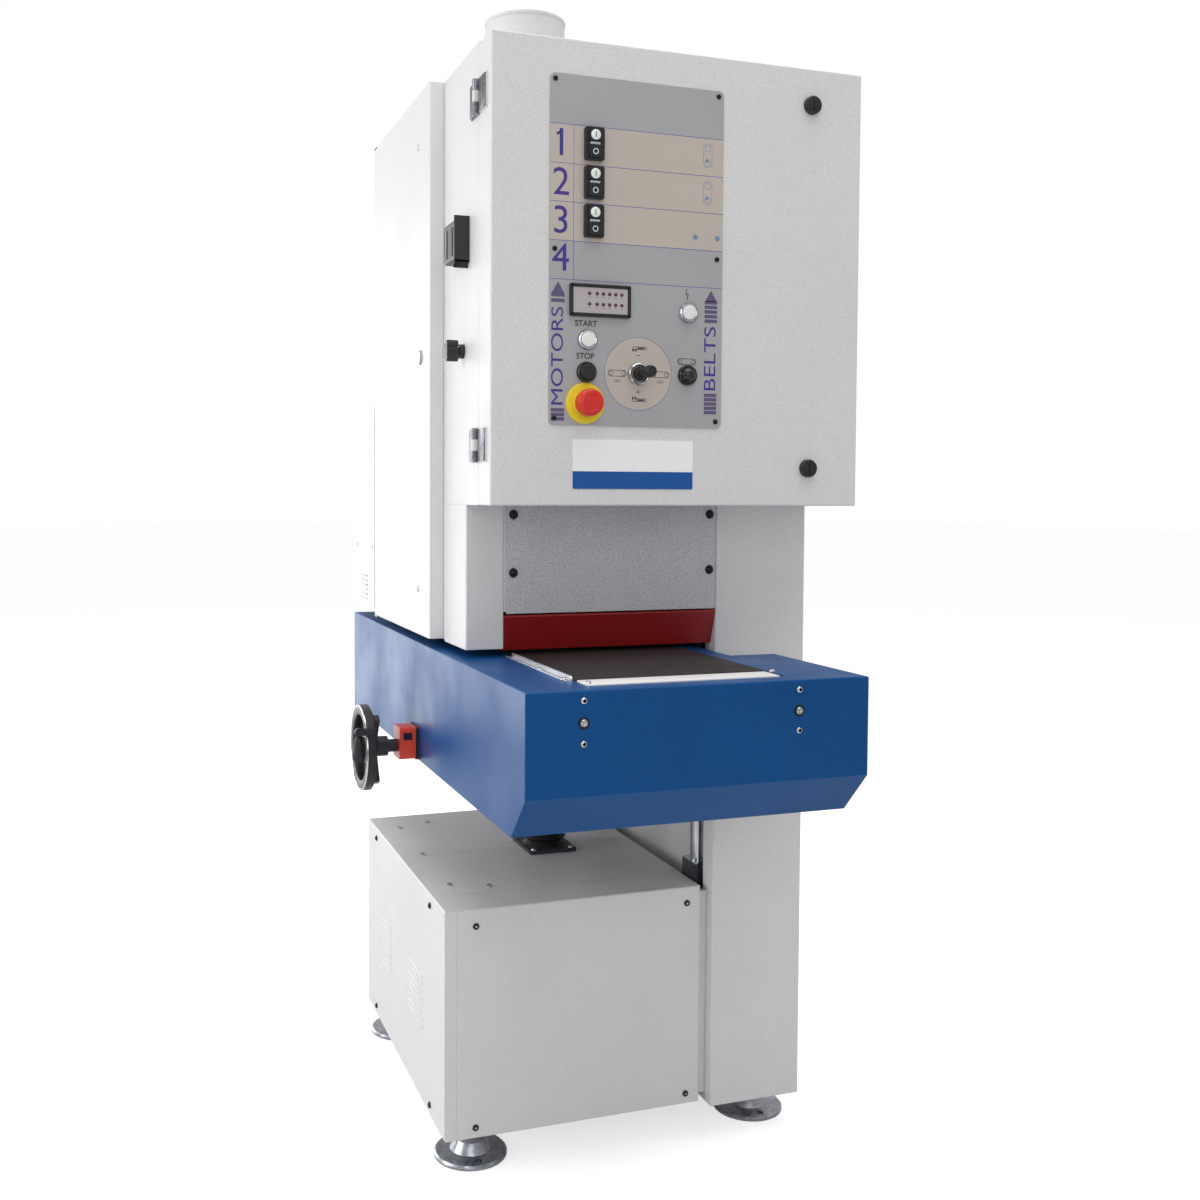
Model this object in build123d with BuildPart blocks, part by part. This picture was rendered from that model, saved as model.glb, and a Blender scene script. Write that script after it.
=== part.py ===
"""Wide-belt drum sanding machine with two drums, a conveyor table and a C-frame.

Millimetres, +Z up. The origin is on the floor, midway between the four feet.
The work is fed from the front, along +Y; the column stands on the right, at +X.
"""

import os

from build123d import *

# Driving dimensions: the work
work_width = 300.0        # width of the conveyor belt and of the abrasive belts
table_z = 830.5           # top of the table cover at rest
feed_t = 3.0              # conveyor belt
abrasive_t = 1.0

# Sheet and fits
sheet = 3.0
run = 0.05                # radial clearance of a shaft in its bearing
ease = 0.3                # between a moving piece and its neighbour
belt_ease = 0.3           # between a belt and its pulley

# Across the machine, outwards from the belt
pillar_gap = 76.0         # belt edge to the outside of the head on the left
column_gap = 52.6         # belt edge to the column
column_w = 166.3
head_overhang = 15.1      # head beyond the column on the right
cover_proud = 23.8        # side door beyond the head
base_out = 28.0           # base beyond the head on the left
table_out = 21.0          # table beyond the head on the left
table_wing = 59.4         # table front beyond the column's left face
base_gap = 14.6           # base to column
foot_in_left = 64.0       # foot centre from the base's left face
foot_in_right = 46.9      # foot centre from the column's right face

foot_left_off = pillar_gap + base_out - foot_in_left + work_width / 2
foot_right_off = column_gap + column_w - foot_in_right + work_width / 2
belt_cx = (foot_left_off - foot_right_off) / 2
belt_x0 = belt_cx - work_width / 2
belt_x1 = belt_cx + work_width / 2
head_x0 = belt_x0 - pillar_gap
column_x0 = belt_x1 + column_gap
column_x1 = column_x0 + column_w
head_x1 = column_x1 + head_overhang
base_x0 = head_x0 - base_out
base_x1 = column_x0 - base_gap
foot_x = belt_cx + foot_right_off

# Front to back
door_t = 58.5
overhang = 66.9           # head beyond the chamber at the front
column_d = 606.6
chamber_d = 564.2
door_y0 = -467.0
head_y0 = door_y0 + door_t
chamber_y0 = head_y0 + overhang
column_y1 = chamber_y0 + column_d
head_y1 = chamber_y0 + chamber_d + sheet
table_y0 = -689.0
table_len = 1134.0
table_y1 = table_y0 + table_len
base_y0 = -324.0
base_y1 = column_y1
foot_y = 250.0

# Up from the floor
base_z0 = 62.5
base_h = 367.6
base_z1 = base_z0 + base_h
column_z0 = 59.0
chamber_z0 = table_z + 12.2
side_door_z0 = chamber_z0 + 3.3
panel_z0 = chamber_z0 + 52.3
head_z0 = panel_z0 + 172.0
head_h = 679.0
head_z1 = head_z0 + head_h
head_in_z1 = head_z1 - sheet
door_z1 = head_z1 - 2.0

# Levelling feet
foot_r = 60.4
stem_r = 8.0

# Drums, tension rollers and their drives
drum_r = 70.0
drum_ys = (chamber_y0 + 191.6, chamber_y0 + 421.6)
drum_z = chamber_z0 + 2.3 + abrasive_t + belt_ease + drum_r
drum_shaft_r = 20.0
bearing_r = 48.0
roller_r = 40.0
roller_z = head_z1 - 206.0
axle_r = 12.0
pulley_r = 45.0
pulley_w = 11.0
vbelt_t = 6.0
motor_r = 75.0
motor_y = head_y1 + 104.0
motor_zs = (drum_z + 234.0, drum_z + 44.0)
plate_t = 12.0
plate_x0 = column_x0 - plate_t
plate_z0 = chamber_z0 + 20.0
names = ("front", "rear")

# Table, conveyor and lift
table_h = 201.0
nose_z = 61.5             # height of the sloping lower front
nose_y = 56.9
table_x0 = head_x0 - table_out
table_x1 = column_x0 - 18.6
wing_x1 = column_x0 + table_wing
wing_y1 = head_y0 - 21.5
table_z0 = table_z - table_h
feed_r = 40.0
feed_z = table_z + 0.5 - feed_t - belt_ease - feed_r
feed_ys = (table_y0 + 99.0, table_y1 - 60.0)
feed_shaft_r = 12.0
frame_x0 = belt_x0 - 12.0
frame_x1 = belt_x1 + 12.0
frame_t = 6.0
jack_x, jack_y = head_x0 + 245.0, -19.0
wheel_y = jack_y - 82.0
wheel_z = table_z0 + 22.5
wheel_r = 71.5
pinion_r = 14.0
gear_r = 67.5
spindle_r = 15.0
wheel_shaft_r = 10.0
rod_r = 12.5
rod_x = column_x0 + 11.4
rod_ys = (chamber_y0 + 79.6, column_y1 - 85.0)
flange_w, flange_d, flange_t = 90.0, 111.0, 6.0

# Control panel on the front door
panel_x0 = head_x0 + 88.5
panel_w = 279.5
panel_z = head_z0 + 118.0
panel_h = 507.5
panel_t = 2.0
panel_y = door_y0 - panel_t


def block(x0, x1, y0, y1, z0, z1, mode=Mode.ADD):
    """A rectangular block between two corners."""
    with Locations(((x0 + x1) / 2, (y0 + y1) / 2, (z0 + z1) / 2)):
        Box(x1 - x0, y1 - y0, z1 - z0, mode=mode)


def bar_x(x0, x1, y, z, radius, mode=Mode.ADD):
    """A round bar or bore along X."""
    with Locations(((x0 + x1) / 2, y, z)):
        Cylinder(radius, x1 - x0, rotation=(0, 90, 0), mode=mode)


def bar_y(x, y0, y1, z, radius, mode=Mode.ADD):
    """A round bar or bore along Y."""
    with Locations((x, (y0 + y1) / 2, z)):
        Cylinder(radius, y1 - y0, rotation=(90, 0, 0), mode=mode)


def bar_z(x, y, z0, z1, radius, mode=Mode.ADD):
    """A round bar or bore along Z."""
    with Locations((x, y, (z0 + z1) / 2)):
        Cylinder(radius, z1 - z0, mode=mode)


def save(builder, name):
    """Label a finished piece and write its STEP file."""
    builder.part.label = name
    export_step(builder.part, f"parts/{name}.step")


os.makedirs("parts", exist_ok=True)

# ---------------------------------------------------------------- feet
pad_t = 7.0
hub_z = 30.0
foot_bolt_r = 5.5
foot_bolt_at = foot_r - 14.0
nut_w = 14.0
with BuildPart() as foot_pad:
    with BuildSketch(Plane.XZ):
        with BuildLine():
            Polyline((0, 0), (foot_r, 0), (foot_r, 4), (foot_r - 3, pad_t), (34, pad_t + 3),
                     (24, hub_z - 4), (19, hub_z), (0, hub_z), (0, 0))
        make_face()
    revolve(axis=Axis.Z)
    with Locations((0, foot_bolt_at, pad_t / 2), (0, -foot_bolt_at, pad_t / 2)):
        Cylinder(foot_bolt_r, 4 * pad_t, mode=Mode.SUBTRACT)

with BuildPart() as levelling_feet:
    for x, seat_z in ((-foot_x, base_z0), (foot_x, column_z0)):
        for y in (-foot_y, foot_y):
            with Locations((x, y, 0)):
                add(foot_pad.part)
            bar_z(x, y, hub_z, seat_z + 20, stem_r)
            with BuildSketch(Plane.XY.offset(seat_z - 10)):
                with Locations((x, y)):
                    RegularPolygon(nut_w, 6)
            extrude(amount=10)
save(levelling_feet, "levelling_feet")

# ---------------------------------------------------------------- base
return_d = 75.0           # front panel folded back over the top
side_pan = 20.0
shell_x0 = base_x0 + side_pan
shell_y0 = base_y0 + sheet
nut_r = 30.0
with BuildPart() as base_shell:
    block(shell_x0, base_x1, shell_y0, base_y1, base_z0, base_z1 - sheet)
    block(shell_x0 + sheet, base_x1 - sheet, shell_y0 + 1, base_y1 - sheet, base_z0 + sheet,
          base_z1 + 1, mode=Mode.SUBTRACT)
    block(shell_x0 + sheet, base_x1 - sheet, shell_y0 - 1, shell_y0 + 2, base_z0 + 30, base_z1 - 30,
          mode=Mode.SUBTRACT)
    block(shell_x0 + sheet, base_x1 - sheet, jack_y - 60, jack_y + 60, base_z1 - 38, base_z1 - sheet)
    bar_z(jack_x, jack_y, base_z1 - 60, base_z1 + 5, nut_r + 1, mode=Mode.SUBTRACT)
    for y in (shell_y0 + 4, base_y1 - 16):
        block(base_x1, column_x0, y, y + 12, base_z0 + 10, base_z1 - 12)
    for y in (-foot_y, foot_y):
        bar_z(-foot_x, y, base_z0 - 1, base_z0 + sheet + 1, stem_r, mode=Mode.SUBTRACT)
        bar_z(-foot_x, y, base_z0 + sheet, base_z0 + 12, stem_r + 10)
        bar_z(-foot_x, y, base_z0 - 1, base_z0 + 13, stem_r, mode=Mode.SUBTRACT)
save(base_shell, "base_shell")

with BuildPart() as base_front_panel:
    block(shell_x0, base_x1, base_y0, base_y0 + sheet, base_z0, base_z1)
    block(shell_x0, base_x1, base_y0, base_y0 + return_d, base_z1 - sheet, base_z1)
    fillet(base_front_panel.edges().filter_by(Axis.X).group_by(Axis.Y)[0].sort_by(Axis.Z)[-1:], 2.5)
save(base_front_panel, "base_front_panel")

# louvres: (first y, last y, lowest z, highest z) of each group in the side panel
slot_h = 3.0
slot_pitch = 12.0
with BuildPart() as base_side_panel:
    block(base_x0, shell_x0, base_y0, base_y1, base_z0, base_z1)
    block(base_x0 + sheet, shell_x0 + 1, base_y0 + sheet, base_y1 - sheet, base_z0 + sheet,
          base_z1 - sheet, mode=Mode.SUBTRACT)
    for y0, y1 in ((-183, -80), (51, 124)):
        for row in range(8):
            z = base_z0 + 125 + row * slot_pitch
            block(base_x0 - 1, base_x0 + sheet + 1, y0, y1, z, z + slot_h, mode=Mode.SUBTRACT)
    fillet(base_side_panel.edges().filter_by(Axis.Y).group_by(Axis.X)[0], 2.5)
save(base_side_panel, "base_side_panel")

seam_y = jack_y + 2
with BuildPart() as base_top_plates:
    block(shell_x0, base_x1, base_y0 + return_d + 0.5, seam_y - 0.5, base_z1 - sheet, base_z1)
    block(shell_x0, base_x1, seam_y + 0.5, base_y1, base_z1 - sheet, base_z1)
    bar_z(jack_x, jack_y, base_z1 - 10, base_z1 + 5, nut_r + 1, mode=Mode.SUBTRACT)
save(base_top_plates, "base_top_plates")

# ---------------------------------------------------------------- column
return_w = 36.0
web_x0 = column_x0 + 29.4
with BuildPart() as column:
    with BuildSketch(Plane.XY.offset(column_z0)):
        with Locations(((column_x0 + column_x1) / 2, (chamber_y0 + column_y1) / 2)):
            Rectangle(column_w, column_d)
            Rectangle(column_w - 2 * sheet, column_d - 2 * sheet, mode=Mode.SUBTRACT)
        with Locations((column_x0 + sheet / 2, (chamber_y0 + column_y1) / 2)):
            Rectangle(sheet + 2, column_d - 2 * return_w, mode=Mode.SUBTRACT)
        with Locations((web_x0 + 3, (chamber_y0 + column_y1) / 2)):
            Rectangle(6, column_d - 2)
    extrude(amount=head_in_z1 - column_z0)
    block(column_x0, column_x1, chamber_y0, column_y1, column_z0, column_z0 + 6)
    for y in (-foot_y, foot_y):
        bar_z(foot_x, y, column_z0 - 1, column_z0 + 7, stem_r, mode=Mode.SUBTRACT)
    block(column_x0 - 31, column_x0, chamber_y0 + sheet, chamber_y0 + 2 * sheet, panel_z0 + 5, head_z0)
    block(column_x0, column_x0 + sheet, chamber_y0 + return_w - 1, column_y1 - return_w + 1, plate_z0,
          head_in_z1)
    for y in drum_ys:
        bar_x(column_x0 - 1, column_x0 + sheet + 1, y, drum_z, bearing_r + 1, mode=Mode.SUBTRACT)
    fillet(column.edges().filter_by(Axis.Z).group_by(Axis.Y)[0], 2.5)
save(column, "column")

with BuildPart() as guide_rods:
    for y in rod_ys:
        block(rod_x - 17, web_x0, y - 25, y + 25, base_z1 - 45, base_z1 + 26)
        block(rod_x - 17, web_x0, y - 25, y + 25, chamber_z0 - 27, chamber_z0 + 13)
    fillet(guide_rods.edges().filter_by(Axis.Z).group_by(Axis.X)[0], 4)
    for y in rod_ys:
        bar_z(rod_x, y, base_z1 - 45, chamber_z0 + 13, rod_r)
save(guide_rods, "guide_rods")

# ---------------------------------------------------------------- head
frame_y0 = chamber_y0 + 124.6     # where the left wall ends and the side door's frame starts
frame_y1 = head_y1 - 25.6
belt_slot_z0 = drum_z - pulley_r - 15
with BuildPart() as head_shell:
    block(head_x0, head_x0 + sheet, head_y0, frame_y0, head_z0, head_in_z1)
    block(head_x0, head_x0 + 22, head_y0, head_y0 + sheet, head_z0, head_in_z1)
    block(head_x0, head_x0 + 22, frame_y0 - sheet, frame_y0, head_z0, head_in_z1)
    fillet(head_shell.edges().filter_by(Axis.Z).group_by(Axis.X)[0], 2)
    block(head_x0, head_x1, head_y0, chamber_y0, head_z0, head_z0 + sheet)
    block(head_x1 - sheet, head_x1, head_y0, column_y1, head_z0, head_in_z1)
    block(column_x1, head_x1, chamber_y0, column_y1, head_z0, head_z0 + sheet)
    block(column_x1, head_x1, column_y1 - sheet, column_y1, head_z0, head_in_z1)
    block(head_x0 + sheet, column_x0, head_y1 - sheet, head_y1, side_door_z0, head_in_z1)
    block(belt_x1 + 8, plate_x0 - 0.5, head_y1 - sheet - 1, head_y1 + 1, belt_slot_z0,
          motor_zs[0] + pulley_r + 20, mode=Mode.SUBTRACT)
save(head_shell, "head_shell")

spigot_x, spigot_y = head_x0 + 110.0, door_y0 + 177.0
spigot_r = 62.5
spigot_h = 79.0
with BuildPart() as head_top_panel:
    block(head_x0, head_x1, head_y0, head_y1, head_in_z1, head_z1)
    block(column_x0 - 3.6, head_x1, head_y1, column_y1, head_in_z1, head_z1)
    bar_z(spigot_x, spigot_y, head_in_z1 - 1, head_z1 + 1, spigot_r - 2, mode=Mode.SUBTRACT)
    block(head_x0 - 1, head_x0 + 2.8, head_y1 - 30, head_y1 + 1, head_in_z1 - 1, head_z1 + 1,
          mode=Mode.SUBTRACT)
save(head_top_panel, "head_top_panel")

rail_w = 30.0
pillar_w = 61.4
with BuildPart() as left_frame:
    block(head_x0, head_x0 + pillar_w, chamber_y0, frame_y0, chamber_z0, head_z0)
    block(head_x0 + sheet, head_x0 + pillar_w - sheet, chamber_y0 + sheet, frame_y0 - sheet,
          chamber_z0 + sheet, head_z0 + 1, mode=Mode.SUBTRACT)
    fillet(left_frame.edges().filter_by(Axis.Z).group_by(Axis.Y)[0], 2.5)
    block(head_x0 + pillar_w, head_x0 + pillar_w + 26, chamber_y0 + sheet, chamber_y0 + 2 * sheet,
          panel_z0 + 5, head_z0)
    block(head_x0, head_x0 + 6, frame_y0, frame_y1, side_door_z0, head_in_z1)
    block(head_x0 - 1, head_x0 + 7, frame_y0 + rail_w, frame_y1 - rail_w, side_door_z0 + rail_w,
          head_in_z1 - rail_w, mode=Mode.SUBTRACT)
save(left_frame, "left_frame")

entry_x0 = head_x0 + pillar_w + 4.6
entry_x1 = column_x0 - 1.6
with BuildPart() as entry_panel:
    block(entry_x0, entry_x1, chamber_y0, chamber_y0 + sheet, panel_z0 + 2, head_z0)
    for x in (entry_x0 + 11, entry_x1 - 11):
        for z in (panel_z0 + 66, panel_z0 + 157):
            with BuildSketch(Plane.XZ.offset(-chamber_y0)):
                with Locations((x, z)):
                    SlotOverall(16, 7, rotation=90)
            extrude(amount=-sheet, mode=Mode.SUBTRACT)
save(entry_panel, "entry_panel")

# the guard leans back towards the drum and swings on the rod in its upper edge
guard_y = chamber_y0 + 3.5
guard_z = panel_z0 - 3.0
guard_low = table_z + 7.7
guard_lean = 17.0
with BuildPart() as entry_guard:
    with BuildSketch(Plane.YZ.offset(head_x0 + pillar_w + ease)):
        with BuildLine():
            Polyline((guard_y - 3, guard_z), (guard_y - 3 + guard_lean, guard_low),
                     (guard_y + 1 + guard_lean, guard_low), (guard_y + 3, guard_z),
                     (guard_y - 3, guard_z))
        make_face()
    extrude(amount=column_x0 - head_x0 - pillar_w - 2 * ease)
    bar_x(head_x0 + pillar_w + ease, column_x0 - ease, guard_y, guard_z, 3)
    bar_x(head_x0 + pillar_w, column_x0, guard_y, guard_z, 1.5 + run, mode=Mode.SUBTRACT)
save(entry_guard, "entry_guard")

with BuildPart() as dust_spigot:
    bar_z(spigot_x, spigot_y, head_z1, head_z1 + sheet, spigot_r + 16)
    bar_z(spigot_x, spigot_y, head_z1, head_z1 + spigot_h, spigot_r)
    bar_z(spigot_x, spigot_y, head_in_z1 - sheet, head_in_z1, spigot_r + 14)
    bar_z(spigot_x, spigot_y, head_z0 + 8, head_in_z1, spigot_r)
    bar_z(spigot_x, spigot_y, head_z0, head_z1 + spigot_h + 1, spigot_r - 2, mode=Mode.SUBTRACT)
save(dust_spigot, "dust_spigot")

# ---------------------------------------------------------------- drums, rollers and belts
pulley_x0s = (belt_x1 + 12, belt_x1 + 12 + pulley_w + 3)
for name, y, x in zip(names, drum_ys, pulley_x0s):
    with BuildPart() as drum:
        bar_x(belt_x0 + 1, belt_x1 - 1, y, drum_z, drum_r)
        chamfer(drum.edges().filter_by(GeomType.CIRCLE), 2)
        bar_x(belt_x1 - 1, web_x0 - 2, y, drum_z, drum_shaft_r)
        bar_x(x, x + pulley_w, y, drum_z, pulley_r)
    save(drum, f"drum_{name}")

with BuildPart() as abrasive_belts:
    for y in drum_ys:
        with BuildSketch(Plane.YZ.offset(belt_x0)):
            with Locations((y, drum_z)):
                Circle(drum_r + belt_ease + abrasive_t)
            with Locations((y, roller_z)):
                Circle(roller_r + belt_ease + abrasive_t)
            make_hull()
        extrude(amount=work_width)
        with BuildSketch(Plane.YZ.offset(belt_x0)):
            with Locations((y, drum_z)):
                Circle(drum_r + belt_ease)
            with Locations((y, roller_z)):
                Circle(roller_r + belt_ease)
            make_hull()
        extrude(amount=work_width, mode=Mode.SUBTRACT)
save(abrasive_belts, "abrasive_belts")

rail_t = 6.6
yoke_x0 = belt_x1 + 8
yoke_x1 = plate_x0 - 4
yoke_h = 100.0
tension_travel = 20.0
for name, y in zip(names, drum_ys):
    with BuildPart() as tension_roller:
        bar_x(belt_x0 + 1, belt_x1 - 1, y, roller_z, roller_r)
        bar_x(belt_x0, belt_x1, y, roller_z, axle_r + run, mode=Mode.SUBTRACT)
    save(tension_roller, f"tension_roller_{name}")
    with BuildPart() as tension_yoke:
        block(yoke_x0, yoke_x1, y - 30, y + 30, roller_z - yoke_h / 2, roller_z + yoke_h / 2)
        block(plate_x0 - rail_t - run, yoke_x1 + 1, y - 10 - run, y + 10 + run,
              roller_z - yoke_h, roller_z + yoke_h, mode=Mode.SUBTRACT)
        bar_x(belt_x0 - 6, yoke_x0, y, roller_z, axle_r)
        bar_x(belt_x0 - 6, belt_x0 - 2, y, roller_z, axle_r + 6)
        bar_z((yoke_x0 + yoke_x1) / 2, y, roller_z + yoke_h / 2, roller_z + 150, 6)
    save(tension_yoke, f"tension_yoke_{name}")

cylinder_x = (yoke_x0 + yoke_x1) / 2
with BuildPart() as drum_plate:
    block(plate_x0, column_x0, chamber_y0 + 60, head_y1 - sheet, plate_z0, head_in_z1)
    for y in drum_ys:
        bar_x(column_x0, column_x0 + 22, y, drum_z, bearing_r)
        bar_x(plate_x0 - 1, column_x0 + 23, y, drum_z, drum_shaft_r + run, mode=Mode.SUBTRACT)
        block(plate_x0 - rail_t, plate_x0, y - 10, y + 10, roller_z - 75, roller_z + 52)
        block(cylinder_x - 4, plate_x0, y - 14, y + 14, roller_z + 60, roller_z + 165)
        bar_z(cylinder_x, y, roller_z + 58, roller_z + 165, 18)
        bar_z(cylinder_x, y, roller_z + 50, roller_z + 156, 6 + run, mode=Mode.SUBTRACT)
save(drum_plate, "drum_plate")

motor_x0 = belt_x0 + 36
motor_x1 = belt_x1 - 4
motor_shaft_r = 12.0
with BuildPart() as sanding_motors:
    # the two vee belts
    for y, x, z in zip(drum_ys, pulley_x0s, motor_zs):
        with BuildSketch(Plane.YZ.offset(x)):
            with Locations((y, drum_z), (motor_y, z)):
                Circle(pulley_r + belt_ease + vbelt_t)
            make_hull()
        extrude(amount=pulley_w)
        with BuildSketch(Plane.YZ.offset(x)):
            with Locations((y, drum_z), (motor_y, z)):
                Circle(pulley_r + belt_ease)
            make_hull()
        extrude(amount=pulley_w, mode=Mode.SUBTRACT)
    # the motors, on feet behind the head's rear wall
    for z in motor_zs:
        bar_x(motor_x0, motor_x1, motor_y, z, motor_r)
        block(motor_x0 + 60, motor_x1 - 60, head_y1, motor_y - 40, z - 45, z + 45)
        bar_x(motor_x1 - 60, motor_x1 + 1, motor_y, z, motor_shaft_r + run, mode=Mode.SUBTRACT)
save(sanding_motors, "sanding_motors")

for name, x, z in zip(names, pulley_x0s, motor_zs):
    with BuildPart() as motor_pulley:
        bar_x(x, x + pulley_w, motor_y, z, pulley_r)
        bar_x(motor_x1 - 58, x, motor_y, z, motor_shaft_r)
    save(motor_pulley, f"motor_pulley_{name}")

box_y1 = head_y1 + 210.2
box_z0 = side_door_z0 + 13
box_z1 = box_z0 + 393.4
box_x0 = head_x0 - cover_proud - 0.6
with BuildPart() as motor_box:
    block(box_x0, plate_x0 + 5, head_y1, box_y1, box_z0, box_z1)
    fillet(motor_box.edges().group_by(Axis.Y)[-1], 3)
    block(box_x0 + sheet, plate_x0 + 5 - sheet, head_y1 - 1, box_y1 - sheet, box_z0 + sheet,
          box_z1 - sheet, mode=Mode.SUBTRACT)
    block(box_x0 + sheet, head_x0 + 12, head_y1, head_y1 + sheet, box_z0 + sheet, box_z1 - sheet)
    for row in range(6):
        z = box_z0 + 11 + row * 9.4
        block(box_x0 - 1, box_x0 + sheet + 1, head_y1 + 59, head_y1 + 133, z, z + slot_h,
              mode=Mode.SUBTRACT)
save(motor_box, "motor_box")

# ---------------------------------------------------------------- side door
pan = 2.5
side_x0 = head_x0 - cover_proud
side_y0 = frame_y0 + 7.3
side_y1 = head_y1 - 2.1
side_z1 = head_z1 + 0.7
pivot_x, pivot_y = side_x0 + 3.8, side_y1 - 8.5
pivot_r = 3.0
with BuildPart() as side_door:
    block(side_x0, head_x0 - ease, side_y0, side_y1, side_door_z0 + ease, side_z1)
    fillet(side_door.edges().filter_by(Axis.Z).group_by(Axis.X)[0], 2)
    block(side_x0 + pan, head_x0, side_y0 + pan, side_y1 - pan, side_door_z0 + ease + pan,
          side_z1 - pan, mode=Mode.SUBTRACT)
    for z in (side_door_z0 + ease + pan + 4, side_z1 - pan - 4):
        block(side_x0 + pan, head_x0 - 8, pivot_y - 8, side_y1 - pan, z - 4, z + 4)
    bar_z(pivot_x + 3, pivot_y, side_door_z0, side_door_z0 + 9, pivot_r + run, mode=Mode.SUBTRACT)
    bar_z(pivot_x + 3, pivot_y, side_z1 - 9, side_z1, pivot_r + run, mode=Mode.SUBTRACT)
    for z in (side_door_z0 + 77, side_door_z0 + 815):
        bar_x(side_x0 - 2, side_x0, side_y0 + 78, z, 5)
    bar_x(side_x0 - 1, side_x0 + pan + 1, side_y0 + 62, side_door_z0 + 465, 9 + run, mode=Mode.SUBTRACT)
save(side_door, "side_door")

with BuildPart() as side_door_lock:
    bar_x(side_x0 - 4, side_x0 - ease, side_y0 + 62, side_door_z0 + 465, 12)
    bar_x(side_x0 - 1, side_x0 + 14, side_y0 + 62, side_door_z0 + 465, 9)
    block(side_x0 + 10, side_x0 + 13, side_y0 + 22, side_y0 + 62, side_door_z0 + 457, side_door_z0 + 473)
save(side_door_lock, "side_door_lock")

# ---------------------------------------------------------------- front door
hinge_x = head_x0 - 6.0
hinge_zs = (head_z0 + 89.0, head_z0 + 598.0)
leaf_h = 50.0
leaf_t = 2.5
knuckle_r = 5.0
hinge_pin_r = 2.5
third = leaf_h / 3
lock_x = head_x0 + 520.5
lock_zs = (head_z0 + 58.8, head_z0 + 620.6)
lock_r = 9.0
switch_x = head_x0 + 156.0
switch_zs = (head_z0 + 527.7, head_z0 + 471.8, head_z0 + 416.0)
push = {
    "start_button": (head_x0 + 147.6, head_z0 + 243.7, 11.0),
    "stop_button": (head_x0 + 146.7, head_z0 + 196.3, 11.0),
    "power_button": (head_x0 + 310.4, head_z0 + 290.7, 11.0),
    "reset_button": (head_x0 + 310.2, head_z0 + 196.9, 11.0),
}
estop_at = (head_x0 + 144.8, head_z0 + 150.6)
estop_stem_r = 9.0
stick_at = (head_x0 + 229.8, head_z0 + 196.5)
bezel_r = 14.75
bezel_y = panel_y - 5.0
with BuildPart() as front_door:
    block(head_x0, head_x1, door_y0, head_y0 - ease, head_z0, door_z1)
    fillet(front_door.edges().filter_by(Axis.Z).group_by(Axis.Y)[0], 3)
    fillet(front_door.edges().filter_by(Axis.X).group_by(Axis.Y)[0], 2.5)
    block(head_x0 + pan, head_x1 - pan, door_y0 + pan, head_y0, head_z0 + pan, door_z1 - pan,
          mode=Mode.SUBTRACT)
    for z in lock_zs:
        bar_y(lock_x, door_y0 - 1, door_y0 + 5, z, lock_r + run, mode=Mode.SUBTRACT)
    for x, z, r in push.values():
        bar_y(x, door_y0 - 1, door_y0 + 5, z, r + 1, mode=Mode.SUBTRACT)
    bar_y(estop_at[0], door_y0 - 1, door_y0 + 5, estop_at[1], 12, mode=Mode.SUBTRACT)
    bar_y(stick_at[0], door_y0 - 1, door_y0 + 5, stick_at[1], 15, mode=Mode.SUBTRACT)
    for z in switch_zs:
        block(switch_x - 13, switch_x + 13, door_y0 - 1, door_y0 + 5, z - 21, z + 21, mode=Mode.SUBTRACT)
    for z in hinge_zs:
        block(head_x0 - leaf_t, head_x0, door_y0 + 16, head_y0 - 0.5, z - leaf_h / 2, z + leaf_h / 2)
        for low, high in ((z - leaf_h, z - third / 2 + 0.5), (z + third / 2 - 0.5, z + leaf_h)):
            block(head_x0 - leaf_t - 1, head_x0, head_y0 - 7, head_y0, low, high, mode=Mode.SUBTRACT)
        bar_z(hinge_x, head_y0, z - third / 2, z + third / 2, knuckle_r)
        block(hinge_x, head_x0, head_y0 - knuckle_r, head_y0 - 0.5, z - third / 2, z + third / 2)
        bar_z(hinge_x, head_y0, z - third, z + third, hinge_pin_r + run, mode=Mode.SUBTRACT)
save(front_door, "front_door")

with BuildPart() as control_panel:
    with BuildSketch(Plane.XZ.offset(-door_y0)):
        with Locations((panel_x0 + panel_w / 2, panel_z + panel_h / 2)):
            RectangleRounded(panel_w, panel_h, 8)
    extrude(amount=panel_t)
    for x, z, r in push.values():
        bar_y(x, panel_y - 1, door_y0 + 1, z, r + 1, mode=Mode.SUBTRACT)
    bar_y(estop_at[0], panel_y - 1, door_y0 + 1, estop_at[1], 12, mode=Mode.SUBTRACT)
    bar_y(stick_at[0], panel_y - 1, door_y0 + 1, stick_at[1], 15, mode=Mode.SUBTRACT)
    for z in switch_zs:
        block(switch_x - 13, switch_x + 13, panel_y - 1, door_y0 + 1, z - 21, z + 21, mode=Mode.SUBTRACT)
save(control_panel, "control_panel")

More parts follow.
